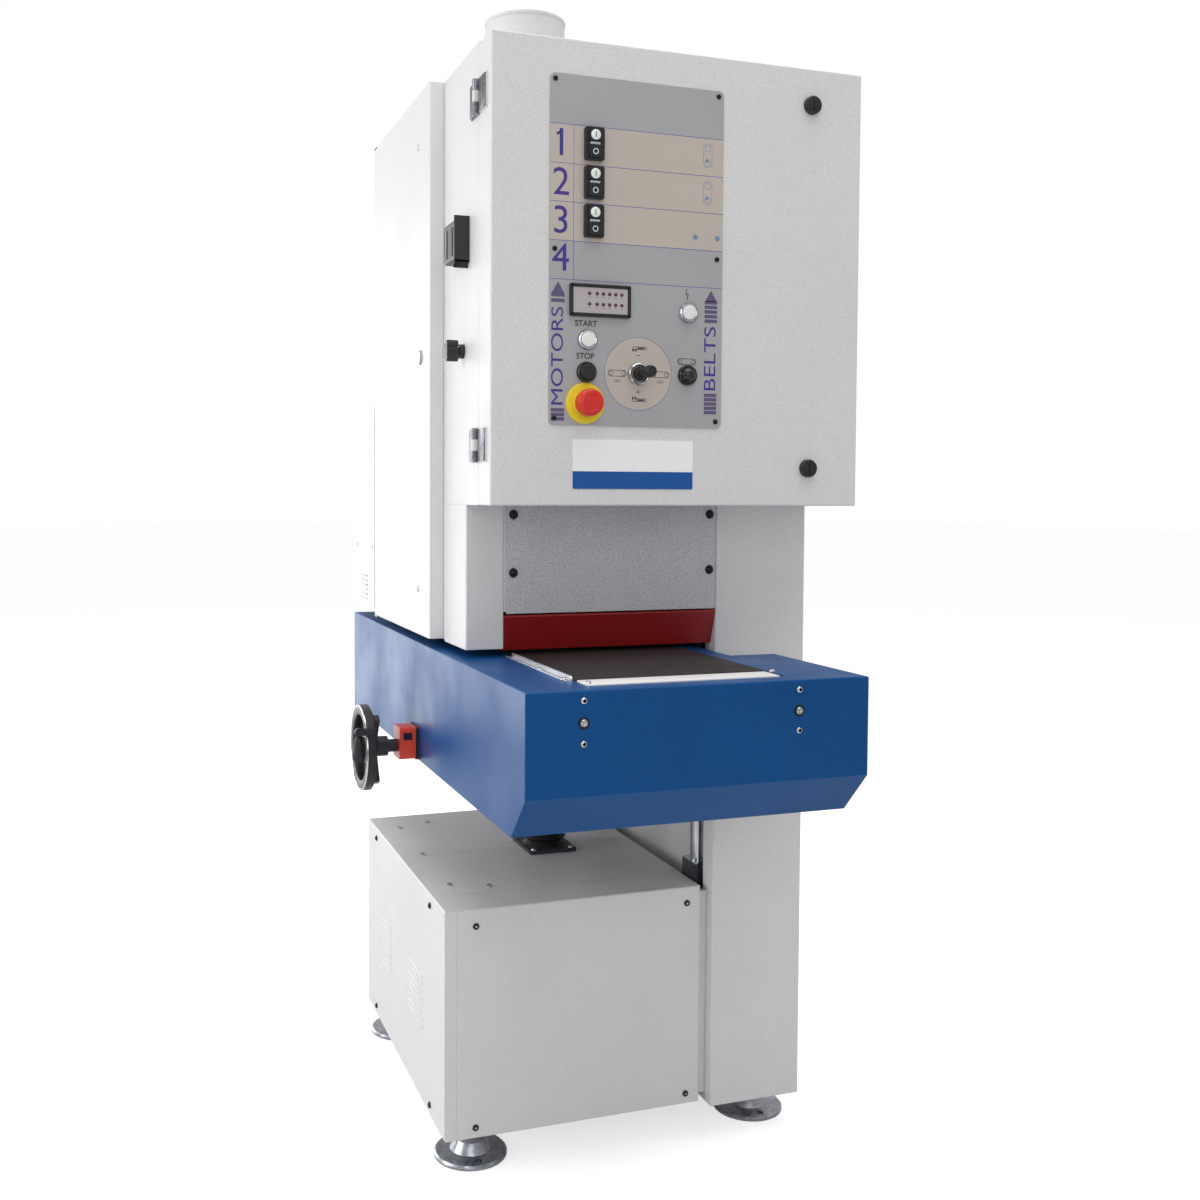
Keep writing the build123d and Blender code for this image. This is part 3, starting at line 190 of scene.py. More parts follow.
def finish_from(name, group, values, metallic=0.0, bump=0.1, bump_depth=0.0002, coat=0.0, gloss=0.5,
                edge=None):
    """A material from one of the groups. edge is the (colour, width, amount) of the painted highlight on its
    folded edges.
    """
    material = bpy.data.materials.new(name)
    material.use_nodes = True
    tree = material.node_tree
    shader = tree.nodes["Principled BSDF"]
    shader.inputs["Metallic"].default_value = metallic
    shader.inputs["Coat Weight"].default_value = coat
    shader.inputs["Specular IOR Level"].default_value = gloss
    pattern = place(tree, "ShaderNodeGroup", {"node_tree": group})
    for label, value in values.items():
        pattern.inputs[label].default_value = value
    colour = pattern.outputs["Colour"]
    relief = place(tree, "ShaderNodeBump", Strength=bump, Distance=bump_depth)
    tree.links.new(pattern.outputs["Height"], relief.inputs["Height"])
    if edge:
        rim = place(tree, "ShaderNodeGroup", {"node_tree": PAINTED_EDGE_HIGHLIGHT})
        rim.inputs["Width"].default_value = edge[1]
        rim.inputs["Amount"].default_value = edge[2]
        # Paler colour mixed in along the folded edges: a painted highlight where they catch the light.
        colour = mix_colours(tree, rim.outputs["Mask"], colour, edge[0])
        tree.links.new(rim.outputs["Normal"], relief.inputs["Normal"])
    tree.links.new(colour, shader.inputs["Base Color"])
    tree.links.new(pattern.outputs["Roughness"], shader.inputs["Roughness"])
    tree.links.new(relief.outputs["Normal"], shader.inputs["Normal"])
    return material


def grained(name, colour, fleck, scale=900.0, flecks=0.3, cloud=0.1, smooth=0.35, rough=0.5, **more):
    """A painted, moulded, cast or rubber finish."""
    values = {"Colour": shade(*colour), "Fleck": shade(*fleck), "Scale": scale, "Flecks": flecks,
              "Cloud": cloud,
              "Smooth": smooth, "Rough": rough}
    return finish_from(name, SURFACE_GRAIN, values, **more)


def drawn(name, colour, shadow, stretch=(60.0, 60.0, 900.0), smooth=0.15, rough=0.4, **more):
    """A bare or plated metal finish with lines across the axis of the largest stretch."""
    values = {"Colour": shade(*colour), "Shadow": shade(*shadow), "Stretch": stretch, "Smooth": smooth,
              "Rough": rough}
    return finish_from(name, DRAWN_LINES, values, metallic=1.0, **more)


def cover(material, *nodes):
    """Gives CAD nodes their finish."""
    for name in nodes:
        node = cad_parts[name]
        for held in node.material_slots:
            held.material = material
        if not node.material_slots:
            node.data.materials.append(material)


zinc = drawn("zinc plate", (196, 200, 206), (120, 124, 132), (90.0, 90.0, 700.0), 0.18, 0.42, bump=0.05)
cover(zinc, "levelling_feet", "side_door_lock")

# ---------------------------------------------------------------- base
# A folded sheet-steel box with a screwed front, side and top, powder coated light grey. Button
# head screws hold the covers, and the side panel's louvres are pressed outwards over each slot.
# Its folded edges are mixed towards near white, a painted highlight where they catch the light.
powder_grey = grained("light grey powder coat", (226, 225, 225), (168, 168, 171), 620.0, 0.34, 0.035, 0.42,
                      0.55,
                      bump=0.25, edge=(shade(250, 250, 250), 0.0022, 0.55))
cover(powder_grey, "base_shell", "base_front_panel", "base_side_panel", "base_top_plates")


def deselect():
    """Back to object mode, with nothing selected."""
    if bpy.context.mode != "OBJECT":
        bpy.ops.object.mode_set(mode="OBJECT")
    bpy.ops.object.select_all(action="DESELECT")


def fix_place():
    """The active piece's place, turn and size go into its mesh."""
    bpy.ops.object.transform_apply(location=True, rotation=True, scale=True)
    return bpy.context.object


def block(name, low, high):
    """A rectangular start between two corners."""
    deselect()
    low, high = Vector(low), Vector(high)
    bpy.ops.mesh.primitive_cube_add(size=1, location=(low + high) / 2)
    bpy.context.object.name = name
    bpy.context.object.scale = high - low
    return fix_place()


TURN = {"x": (0, -math.pi / 2, 0), "y": (math.pi / 2, 0, 0), "z": (0, 0, 0)}


def disc(name, centre, radius, depth, facing, sides=40):
    """A round start about its centre, with its caps across the axis that it faces along."""
    deselect()
    bpy.ops.mesh.primitive_cylinder_add(vertices=sides, radius=radius, depth=depth, location=centre,
                                        rotation=TURN[facing])
    bpy.context.object.name = name
    return fix_place()


def pick(piece, kind, test):
    """Edit mode, with the faces or edges selected whose middle and normal pass the test."""
    deselect()
    piece.select_set(True)
    bpy.context.view_layer.objects.active = piece
    bpy.ops.object.mode_set(mode="EDIT")
    bpy.ops.mesh.select_mode(type=kind)
    bpy.ops.mesh.select_all(action="DESELECT")
    bpy.ops.object.mode_set(mode="OBJECT")
    mesh = piece.data
    if kind == "FACE":
        for face in mesh.polygons:
            face.select = bool(test(face.center, face.normal))
    else:
        for edge in mesh.edges:
            ends = [mesh.vertices[i].co for i in edge.vertices]
            edge.select = bool(test((ends[0] + ends[1]) / 2, (ends[1] - ends[0]).normalized()))
    bpy.ops.object.mode_set(mode="EDIT")


def soften(piece, width, segments=2, test=lambda middle, along: True):
    """Bevels the edges that pass the test."""
    pick(piece, "EDGE", test)
    bpy.ops.mesh.bevel(offset=width, segments=segments, affect="EDGES")
    bpy.ops.object.mode_set(mode="OBJECT")


def hand_over(piece, body, material, angle=35):
    """Shades a finished piece, gives it its finish, and rides it on its body."""
    deselect()
    piece.select_set(True)
    bpy.context.view_layer.objects.active = piece
    bpy.ops.object.shade_smooth_by_angle(angle=math.radians(angle))
    piece.data.materials.clear()
    piece.data.materials.append(material)
    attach(piece, body)
    return piece


def join(name, pieces):
    """Several pieces as one object."""
    deselect()
    for piece in pieces:
        piece.select_set(True)
    bpy.context.view_layer.objects.active = pieces[0]
    if len(pieces) > 1:
        bpy.ops.object.join()
    bpy.context.object.name = name
    return bpy.context.object


def turned(name, profile, at, along, steps=40, ring=False):
    """A turned solid: (distance out, distance along) points spun about the axis through at.

    A ring's profile closes on itself, and any other profile starts and ends on the axis."""
    deselect()
    bpy.ops.mesh.primitive_circle_add(vertices=len(profile))
    piece = bpy.context.object
    piece.name = name
    axis = Vector(along).normalized()
    outward = axis.orthogonal().normalized()
    for vertex, (radius, step) in zip(piece.data.vertices, profile):
        vertex.co = Vector(at) + outward * radius + axis * step
    last = {0, len(profile) - 1}
    bpy.ops.object.mode_set(mode="EDIT")
    if not ring:
        bpy.ops.mesh.select_mode(type="EDGE")
        bpy.ops.mesh.select_all(action="DESELECT")
        bpy.ops.object.mode_set(mode="OBJECT")
        for edge in piece.data.edges:
            edge.select = set(edge.vertices) == last
        bpy.ops.object.mode_set(mode="EDIT")
        bpy.ops.mesh.delete(type="EDGE")
    bpy.ops.mesh.select_all(action="SELECT")
    bpy.ops.mesh.spin(steps=steps, angle=math.tau, center=at, axis=axis)
    bpy.ops.mesh.select_all(action="SELECT")
    bpy.ops.mesh.remove_doubles(threshold=1e-6)
    bpy.ops.mesh.normals_make_consistent(inside=False)
    bpy.ops.object.mode_set(mode="OBJECT")
    return piece


def button_head(name, at, along, radius=4.5 * MM, rise=2.6 * MM, socket=2.0 * MM):
    """A domed screw head on a washer face, with a hexagon socket. along points out of the surface."""
    dome = [(0, rise - 1.3 * MM), (socket, rise - 1.3 * MM), (socket, rise), (radius * 0.62, rise * 0.94),
            (radius * 0.86, rise * 0.66), (radius, rise * 0.25), (radius, -0.3 * MM), (0, -0.3 * MM)]
    return turned(name, dome, at, along, 24)


black_steel = grained("black oxide screw", (34, 34, 36), (70, 70, 74), 1500.0, 0.4, 0.2, 0.25, 0.4,
                      metallic=0.6)
bright_steel = drawn("bright screw", (214, 216, 220), (140, 143, 150), (400.0, 400.0, 400.0), 0.14, 0.3,
                     bump=0.04)
base_low, base_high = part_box("base_front_panel")
side_low, side_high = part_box("base_side_panel")
front_screws = [(x, z) for x in (base_low.x + 0.031, base_high.x - 0.024)
                for z in (base_low.z + 0.0165, base_high.z - 0.0275)]
for number, (x, z) in enumerate(front_screws):
    head = button_head(f"base_front_screw_{number}", (x, base_low.y - 0.0006, z), (0, -1, 0), 5.2 * MM,
                       3.0 * MM)
    hand_over(head, "frame", black_steel)
side_screws = [(y, z) for y in (-0.233, 0.184) for z in (side_low.z + 0.018, side_high.z - 0.018)]
for number, (y, z) in enumerate(side_screws):
    head = button_head(f"base_side_screw_{number}", (side_low.x - 0.0006, y, z), (-1, 0, 0), 5.2 * MM,
                       3.0 * MM)
    hand_over(head, "frame", black_steel)
cover(bright_steel, "frame_screws")

lips = []
for first, last in ((-0.183, -0.080), (0.051, 0.124)):
    for row in range(8):
        z = side_low.z + 0.125 + row * 0.012
        lip = block("lip", (side_low.x - 0.0022, first, z + 0.0025), (side_low.x + 0.001, last, z + 0.0045))
        pick(lip, "FACE", lambda middle, normal: normal.x < -0.9)
        bpy.ops.transform.translate(value=(0, 0, -0.0016))
        soften(lip, 0.0006, 2, lambda middle, along: middle.x < side_low.x)
        lips.append(lip)
hand_over(join("base_louvre_lips", lips), "frame", powder_grey)

# ---------------------------------------------------------------- column and guide rods
# A folded steel channel that carries the head, with a stiffening web, coated like the base. Two
# hard-chromed rods in cast blocks guide the table up and down beside it.
cover(powder_grey, "column")
rod_steel = drawn("ground and chromed rod", (208, 211, 216), (130, 134, 142), (700.0, 700.0, 20.0), 0.08,
                  0.2, bump=0.03)
cover(rod_steel, "guide_rods")
cast_grey = grained("painted casting", (52, 56, 62), (22, 24, 28), 500.0, 0.5, 0.3, 0.5, 0.75, bump=0.5)
rods_low, rods_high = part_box("guide_rods")
clamps = []
for rod_y in (rods_low.y + 0.025, rods_high.y - 0.025):
    for z in (rods_low.z + 0.045, rods_high.z - 0.020):
        clamp = block("clamp", (rods_low.x - 0.0006, rod_y - 0.0262, z - 0.0256),
                      (rods_low.x + 0.012, rod_y + 0.0262, z + 0.0236))
        soften(clamp, 0.004, 3, lambda middle, along: abs(along.z) > 0.9)
        clamps.append(clamp)
hand_over(join("guide_rod_clamp_faces", clamps), "frame", cast_grey)

# ---------------------------------------------------------------- head
# Folded and welded sheet covers round the drums and belts: left wall, right wall, floor and top,
# with the entry panel hung on four screws in slots. All are coated light grey outside and in.
cover(powder_grey, "head_shell", "head_top_panel", "left_frame", "side_door", "motor_box", "front_door",
      "dust_spigot")
# Its folded edges are mixed towards a paler grey, a painted highlight where they catch the light.
speckled_grey = grained("speckled grey coat", (205, 206, 208), (112, 113, 118), 430.0, 0.6, 0.06, 0.4, 0.6,
                        bump=0.4,
                        edge=(shade(240, 240, 240), 0.002, 0.5))
cover(speckled_grey, "entry_panel")
entry_low, entry_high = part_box("entry_panel")
for number, x in enumerate((entry_low.x + 0.011, entry_high.x - 0.011)):
    for level, z in enumerate((entry_low.z + 0.064, entry_low.z + 0.155)):
        slot_plate = disc("washer", (x, entry_low.y - 0.0004, z), 0.0072, 0.0016, "y", 32)
        pick(slot_plate, "FACE", lambda middle, normal: normal.y < -0.9)
        bpy.ops.mesh.inset(thickness=0.0012)
        bpy.ops.mesh.extrude_region_move(TRANSFORM_OT_translate={"value": (0, 0.0004, 0)})
        head = button_head("head", (x, entry_low.y - 0.0026, z), (0, -1, 0), 5.7 * MM, 3.2 * MM, 2.4 * MM)
        hand_over(join(f"entry_screw_{number}{level}", [slot_plate, head]), "frame", black_steel)

collar_low, collar_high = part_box("dust_spigot")
spigot_x = (collar_low.x + collar_high.x) / 2
spigot_y = (collar_low.y + collar_high.y) / 2
spigot_rim = turned("spigot_rolled_rim", [(0.0606, -0.0062), (0.0629, -0.0062), (0.0636, -0.0045), (0.0636,
        -0.0012),
                                         (0.0628, -0.0002), (0.0606, -0.0002)],
                    (spigot_x, spigot_y, collar_high.z), (0, 0, 1), 64, ring=True)
hand_over(spigot_rim, "frame", powder_grey)

# ---------------------------------------------------------------- drums, rollers and belts
# Two rubber-covered drums drive the abrasive belts, and steel rollers tension them. The belts are
# cloth with brown grit bonded on, and the motors behind are painted castings with fins.
drum_rubber = grained("drum rubber", (38, 38, 40), (70, 68, 66), 700.0, 0.4, 0.2, 0.6, 0.85, bump=0.4)
cover(drum_rubber, "drum_front", "drum_rear", "drive_roller")
turned_steel = drawn("turned steel", (176, 179, 184), (96, 99, 106), (700.0, 60.0, 60.0), 0.2, 0.4, bump=0.06)
cover(turned_steel, "tension_roller_front", "tension_roller_rear", "idle_roller", "lift_screw", "drum_plate",
      "tension_yoke_front", "tension_yoke_rear", "table_frame")
grit = grained("brown abrasive grit", (98, 56, 36), (34, 20, 14), 1100.0, 0.9, 0.3, 0.75, 0.95, bump=1.0,
               bump_depth=0.0006)
cover(grit, "abrasive_belts")
cover(cast_grey, "sanding_motors", "motor_pulley_front", "motor_pulley_rear", "lift_nut")

# ---------------------------------------------------------------- motor cover, side door and fittings
# The cover over the motors and the tall side door are folded pans. The door turns on pins at its
# rear edge and is held by a quarter-turn lock; button head screws hold the fixed cover.
box_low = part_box("motor_box")[0]
lips = []
for row in range(6):
    z = box_low.z + 0.011 + row * 0.0094
    lip = block("lip", (box_low.x - 0.0018, box_low.y + 0.059, z + 0.0024),
                (box_low.x + 0.001, box_low.y + 0.133, z + 0.0042))
    pick(lip, "FACE", lambda middle, normal: normal.x < -0.9)
    bpy.ops.transform.translate(value=(0, 0, -0.0014))
    lips.append(lip)
hand_over(join("motor_cover_louvre_lips", lips), "frame", powder_grey)

door_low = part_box("side_door")[0]
lock_low, lock_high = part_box("side_door_lock")
lock_centre = Vector((lock_low.x, (lock_low.y + lock_high.y) / 2, (lock_low.z + lock_high.z) / 2))
lock_face_y = door_low.y + 0.062
escutcheon = turned("side_lock_face", [(0, -0.0006), (0.0032, -0.0006), (0.0036, 0.0003), (0.009, 0.0008),
                                       (0.0112, 0.0002), (0.0118, -0.0012), (0, -0.0012)],
                    (lock_low.x, lock_face_y, lock_centre.z), (-1, 0, 0), 36)
hand_over(escutcheon, "side_door_lock", bright_steel)
for number, z in enumerate((door_low.z + 0.0767, door_low.z + 0.8147)):
    head = button_head(f"side_door_screw_{number}", (door_low.x + 0.0016, door_low.y + 0.078, z), (-1, 0, 0),
                       5.6 * MM, 1.5 * MM)
    hand_over(head, "side_door", bright_steel)

# ---------------------------------------------------------------- safety switch and air valve
# A black moulded interlock switch with two grey inserts behind a bent steel bracket, and a
# three-lobed black knob on a chromed stem for the air valve, both on the head's left wall.
black_mould = grained("black moulded plastic", (26, 26, 28), (58, 58, 60), 1400.0, 0.35, 0.2, 0.3, 0.5,
                      bump=0.12)
cover(black_mould, "interlock_switch", "valve_knob", "joystick", "door_lock_upper", "door_lock_lower",
      "panel_fittings")
grey_mould = grained("grey moulded plastic", (150, 152, 154), (96, 98, 102), 1200.0, 0.35, 0.15, 0.35, 0.55,
                     bump=0.1)
switch_low, switch_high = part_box("interlock_switch")
body_front = switch_low.y + 0.006
for number, (y0, y1) in enumerate(((body_front + 0.020, body_front + 0.030), (body_front + 0.050,
        body_front + 0.062))):
    insert = block(f"interlock_insert_{number}", (switch_high.x - 0.0215, y0, switch_high.z - 0.0555),
                   (switch_high.x - 0.0190, y1, switch_high.z - 0.0125))
    pick(insert, "FACE", lambda middle, normal: normal.x < -0.9)
    bpy.ops.mesh.inset(thickness=0.0016)
    bpy.ops.mesh.extrude_region_move(TRANSFORM_OT_translate={"value": (0.0009, 0, 0)})
    soften(insert, 0.0016, 3, lambda middle, along: abs(along.x) > 0.9 and middle.x < switch_high.x - 0.0195)
    hand_over(insert, "frame", grey_mould)
tab = block("interlock_bracket_tab", (switch_low.x, switch_low.y, switch_high.z - 0.0695),
            (switch_high.x - 0.001, switch_low.y + 0.003, switch_high.z - 0.0655))
pick(tab, "FACE", lambda middle, normal: normal.z < -0.9)
bpy.ops.mesh.extrude_region_move(TRANSFORM_OT_translate={"value": (0.001, 0.010, -0.007)})
soften(tab, 0.0006, 2)
hand_over(tab, "frame", black_steel)

chrome = drawn("bright chrome", (226, 228, 232), (150, 153, 160), (30.0, 30.0, 30.0), 0.05, 0.12, bump=0.01)
knob_low, knob_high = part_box("valve_knob")
knob_z = (knob_low.z + knob_high.z) / 2
stem_cone = turned("valve_stem_nut", [(0, 0.0105), (0.0075, 0.0105), (0.0098, 0.006), (0.0122, 0.0004),
                                      (0.0122, -0.0005),
                                      (0, -0.0005)],
                   (switch_high.x, (knob_low.y + knob_high.y) / 2, knob_z), (-1, 0, 0), 32)
hand_over(stem_cone, "frame", chrome)

# ---------------------------------------------------------------- entry guard
# A folded steel flap in signal red that hangs from a rod in front of the first drum and lifts as
# thick work passes under it. Its folded edges are painted paler, a painted highlight where they catch the
# light.
guard_red = grained("signal red paint", (150, 22, 24), (92, 10, 12), 500.0, 0.3, 0.12, 0.3, 0.45, bump=0.2,
                    coat=0.2,
                    edge=(shade(190, 60, 55), 0.0016, 0.6))
cover(guard_red, "entry_guard")

# ---------------------------------------------------------------- front door and its hinges
# A folded pan door on two steel hinges, coated like the head. It carries the control panel and a
# blank name plate, and two black quarter-turn locks hold it shut.
front_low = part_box("front_door")[0]
wall_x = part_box("head_shell")[0].x
face_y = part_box("control_panel")[1].y
for name in ("lower", "upper"):
    knob_low, knob_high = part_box(f"door_lock_{name}")
    lock_z = (knob_low.z + knob_high.z) / 2
    lock_x = knob_low.x + 0.014
    bar = turned("cap", [(0, 0.0012), (0.0035, 0.0012), (0.0075, 0.0004), (0.0096, 0.0), (0.0096, -0.0016),
                         (0, -0.0016)],
                 (lock_x, knob_low.y, lock_z), (0, -1, 0), 32)
    blade = block("blade", (lock_x - 0.0016, knob_low.y - 0.0032, lock_z - 0.0085),
                  (lock_x + 0.0016, knob_low.y + 0.001, lock_z + 0.0085))
    soften(blade, 0.0008, 2)
    hand_over(join(f"door_lock_wing_{name}", [bar, blade]), f"door_lock_{name}", black_mould)

hinge_steel = drawn("hinge steel", (150, 153, 158), (60, 62, 68), (120.0, 120.0, 600.0), 0.25, 0.45,
                    bump=0.06)
cover(hinge_steel, "hinge_fixed")
leaf_levels = (front_low.z + 0.089, front_low.z + 0.598)
pin_y = -0.4120
for number, z in enumerate(leaf_levels):
    for body, y0, y1 in (("front_door", pin_y - 0.038, pin_y - 0.006), ("frame", pin_y + 0.006,
            pin_y + 0.038)):
        leaf = block(f"hinge_leaf_{body}_{number}", (wall_x - 0.0048, y0, z - 0.0235),
                     (wall_x - 0.0010, y1, z + 0.0235))
        soften(leaf, 0.0007, 2)
        hand_over(leaf, body, hinge_steel)

plate_low = Vector((wall_x + 0.127, face_y - 0.0010, front_low.z + 0.025))
plate_high = Vector((wall_x + 0.3215, face_y + 0.0004, front_low.z + 0.098))
band_z = front_low.z + 0.051
plate_white = grained("white plate", (250, 250, 250), (236, 238, 240), 900.0, 0.2, 0.02, 0.22, 0.3, bump=0.03)
plate_blue = grained("blue plate band", (0, 84, 160), (0, 70, 140), 900.0, 0.2, 0.03, 0.22, 0.3, bump=0.03)
plate = block("name_plate", (plate_low.x, plate_low.y, band_z), plate_high)
soften(plate, 0.0008, 2, lambda middle, along: abs(along.y) > 0.9 and middle.z > plate_high.z - 0.001)
hand_over(plate, "front_door", plate_white)
band = block("name_plate_band", plate_low, (plate_high.x, plate_high.y, band_z))
soften(band, 0.0008, 2, lambda middle, along: abs(along.y) > 0.9 and middle.z < plate_low.z + 0.001)
hand_over(band, "front_door", plate_blue)

# ---------------------------------------------------------------- control panel
# A sheet of anodised aluminium screwed to the door and screen printed: four numbered rows, a
# round dial field and the legends. The inks are thin layers that stand just off the sheet.
sheet_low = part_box("control_panel")[0]
anodised = grained("anodised panel sheet", (172, 172, 174), (150, 151, 156), 900.0, 0.3, 0.05, 0.35, 0.5,
                   bump=0.05)
cover(anodised, "control_panel")
beige_ink = grained("beige ink", (194, 184, 174), (180, 170, 162), 900.0, 0.3, 0.04, 0.4, 0.55, bump=0.04)
violet_ink = grained("violet ink", (68, 52, 140), (58, 46, 120), 900.0, 0.3, 0.06, 0.4, 0.55, bump=0.04)
line_ink = grained("blue line ink", (96, 104, 168), (84, 92, 150), 900.0, 0.3, 0.06, 0.4, 0.55, bump=0.04)
mauve_ink = grained("mauve ink", (98, 86, 122), (84, 74, 108), 900.0, 0.3, 0.06, 0.4, 0.55, bump=0.04)
dark_ink = grained("dark grey ink", (46, 47, 54), (38, 40, 46), 900.0, 0.3, 0.06, 0.4, 0.55, bump=0.04)
pale_ink = grained("pale blue ink", (116, 140, 172), (100, 124, 156), 900.0, 0.3, 0.06, 0.4, 0.55, bump=0.04)


def printed(x0, x1, z0, z1, lift):
    """A printed bar, in millimetres from the sheet's lower left corner. lift is in hundredths of one."""
    return block("ink", (sheet_low.x + x0 * MM, sheet_low.y - lift * 1e-5, sheet_low.z + z0 * MM),
                 (sheet_low.x + x1 * MM, sheet_low.y + 0.0003, sheet_low.z + z1 * MM))


def printed_disc(x, z, radius, lift, sides=40):
    """A printed round spot."""
    depth = 0.0003 + lift * 1e-5
    centre = (sheet_low.x + x * MM, sheet_low.y + 0.0003 - depth / 2, sheet_low.z + z * MM)
    return disc("ink", centre, radius * MM, depth, "y", sides)


def printed_loop(x, z, radius, reach, line, lift, upright=False):
    """A printed outline round two rollers that stand reach apart."""
    loop = printed_disc(x, z, radius, lift, 32)
    axis = 2 if upright else 0
    middle_of = Vector((sheet_low.x + x * MM, 0, sheet_low.z + z * MM))
    for vertex in loop.data.vertices:
        vertex.co[axis] += math.copysign(reach * MM / 2, vertex.co[axis] - middle_of[axis] + 1e-7)
    pick(loop, "FACE", lambda middle, normal: normal.y < -0.9)
    bpy.ops.mesh.inset(thickness=line * MM)
    bpy.ops.mesh.extrude_region_move(TRANSFORM_OT_translate={"value": (0, lift * 1e-5 + 0.0001, 0)})
    bpy.ops.object.mode_set(mode="OBJECT")
    return loop


def printed_text(words, x, z, height, lift, upright=False, weight=0.0):
    """Printed letters of that cap height, centred. weight is the millimetres added round each stroke."""
    deselect()
    turn = (math.pi / 2, -math.pi / 2 if upright else 0, 0)
    bpy.ops.object.text_add(rotation=turn)
    piece = bpy.context.object
    piece.data.body = words
    piece.data.align_x = "CENTER"
    piece.data.align_y = "CENTER"
    piece.data.size = height * MM / 0.72
    piece.data.extrude = 0.00015
    piece.data.offset = weight * MM
    bpy.ops.object.convert(target="MESH")
    piece = bpy.context.object
    piece.location = (sheet_low.x + x * MM, sheet_low.y + 0.00015 - lift * 1e-5, sheet_low.z + z * MM)
    return fix_place()


row_lines = (435.5, 379.3, 324.0, 268.0, 212.0)
bands = [printed(0.2, 279.3, low + 0.2, high - 0.2, 6) for high, low in zip(row_lines, row_lines[1:4])]
dial_x, dial_z = 141.3, 78.5
dial_field = printed_disc(dial_x, dial_z, 54.0, 8, 96)
hand_over(join("panel_beige_fields", [*bands, dial_field]), "front_door", beige_ink)

lines = [printed(0.2, 279.3, z - 0.45, z + 0.45, 12) for z in row_lines]
lines.append(printed(36.6, 37.4, row_lines[-1], row_lines[0], 12))
rim = turned("ink", [(0.0538, -0.0001), (0.0545, -0.0001), (0.0545, 0.00012), (0.0538, 0.00012)],
             (sheet_low.x + dial_x * MM, sheet_low.y, sheet_low.z + dial_z * MM), (0, -1, 0), 96, ring=True)
hand_over(join("panel_row_lines", [*lines, rim]), "front_door", line_ink)

numerals = [printed_text(str(number), 17.5, z, 41.0, 14)
            for number, z in enumerate((407.0, 350.5, 295.5, 241.5), 1)]
flag = printed(-0.8, 8.4, -1.9, 1.9, 14)
corner = Vector((sheet_low.x, 0, sheet_low.z))
flag.data.transform(Matrix.Translation(corner + Vector((14.2 * MM, 0, 422.5 * MM))) @ Matrix.Rotation(-0.62,
        4, "Y")
                    @ Matrix.Translation(-corner - Vector((3.8 * MM, 0, 0))))
numerals.append(flag)
words = [printed_text("MOTORS", 13.4, 100.0, 19.0, 14, True), printed_text("BELTS", 260.7, 105.0, 20.0, 14,
        True)]
for piece, length in zip(words, (0.142, 0.096)):
    low = min(v.co.z for v in piece.data.vertices)
    high = max(v.co.z for v in piece.data.vertices)
    middle = (low + high) / 2
    piece.data.transform(Matrix.Translation((0, 0, middle)) @ Matrix.Scale(length / (high - low), 4, (0, 0,
            1))
                         @ Matrix.Translation((0, 0, -middle)))
hand_over(join("panel_violet_legend", [*numerals, *words]), "front_door", violet_ink)

arrows = []
for x, top, above, below in ((13.4, 208.0, (189.0, 181.0), (22.0, 15.5, 9.0)),
                             (260.7, 208.0, (190.0, 183.0, 176.0, 169.0, 162.0), (50.0, 43.5, 37.0, 30.5,
                                     24.0))):
    head = printed_disc(x, top - 11.0, 11.5, 14, 3)
    lowest = min(v.co.z for v in head.data.vertices)
    highest = max(v.co.z for v in head.data.vertices)
    if sum(v.co.z > (lowest + highest) / 2 for v in head.data.vertices) > 3:
        head.data.transform(Matrix.Translation((0, 0, lowest + highest)) @ Matrix.Scale(-1, 4, (0, 0, 1)))
        head.data.flip_normals()
    arrows.append(head)
    arrows += [printed(x - 10.5, x + 10.5, z - 2.6, z + 2.6, 14) for z in (*above, *below)]
hand_over(join("panel_mauve_arrows", arrows), "front_door", mauve_ink)

legend = [printed_text("START", 57.5, 149.0, 8.6, 14, weight=0.22), printed_text("STOP", 56.5, 101.5, 8.6,
        14, weight=0.22),
          printed_text("ON", dial_x - 34.0, dial_z - 11.5, 4.6, 14),
          printed_text("OFF", dial_x + 36.0, dial_z - 11.5, 4.6, 14),
          printed(dial_x - 3.5, dial_x + 3.5, dial_z + 27.2, dial_z + 28.2, 14),
          printed(dial_x - 3.5, dial_x + 3.5, dial_z - 27.5, dial_z - 26.5, 14),
          printed(dial_x - 0.5, dial_x + 0.5, dial_z - 30.5, dial_z - 23.5, 14)]
for x, z, reach in ((dial_x - 34.0, dial_z, 20.0), (dial_x + 36.0, dial_z, 20.0), (221.0, 99.5, 21.0)):
    legend.append(printed_loop(x, z, 4.9, reach, 0.9, 14))
    legend += [printed_loop(x + side * reach / 2, z, 3.2, 0.0, 0.7, 14) for side in (-1, 1)]
for z, way in ((dial_z + 38.0, -1), (dial_z - 39.0, 1)):
    legend.append(printed_loop(dial_x + 2.0, z, 2.4, 19.0, 0.9, 14))
    legend.append(printed(dial_x - 2.0, dial_x + 10.0, z - 1.0, z + 1.0, 14))
    for x in (dial_x - 8.5, dial_x - 4.0):
        legend.append(printed(x - 1.2, x + 1.2, z + way * 3.0 - 2.0, z + way * 3.0 + 2.0, 14))
for x0, z0, turn, length in ((219.5, 204.5, 0.25, 9.0), (220.4, 200.2, 1.45, 5.0), (221.4, 196.2, 0.25, 9.0)):
    bolt = printed(-0.6, 0.6, -length / 2, length / 2, 14)
    home = Vector((sheet_low.x, 0, sheet_low.z))
    spot = Vector((sheet_low.x + x0 * MM, 0, sheet_low.z + z0 * MM))
    bolt.data.transform(Matrix.Translation(spot) @ Matrix.Rotation(turn, 4, "Y") @ Matrix.Translation(-home))
    legend.append(bolt)
hand_over(join("panel_dark_legend", legend), "front_door", dark_ink)

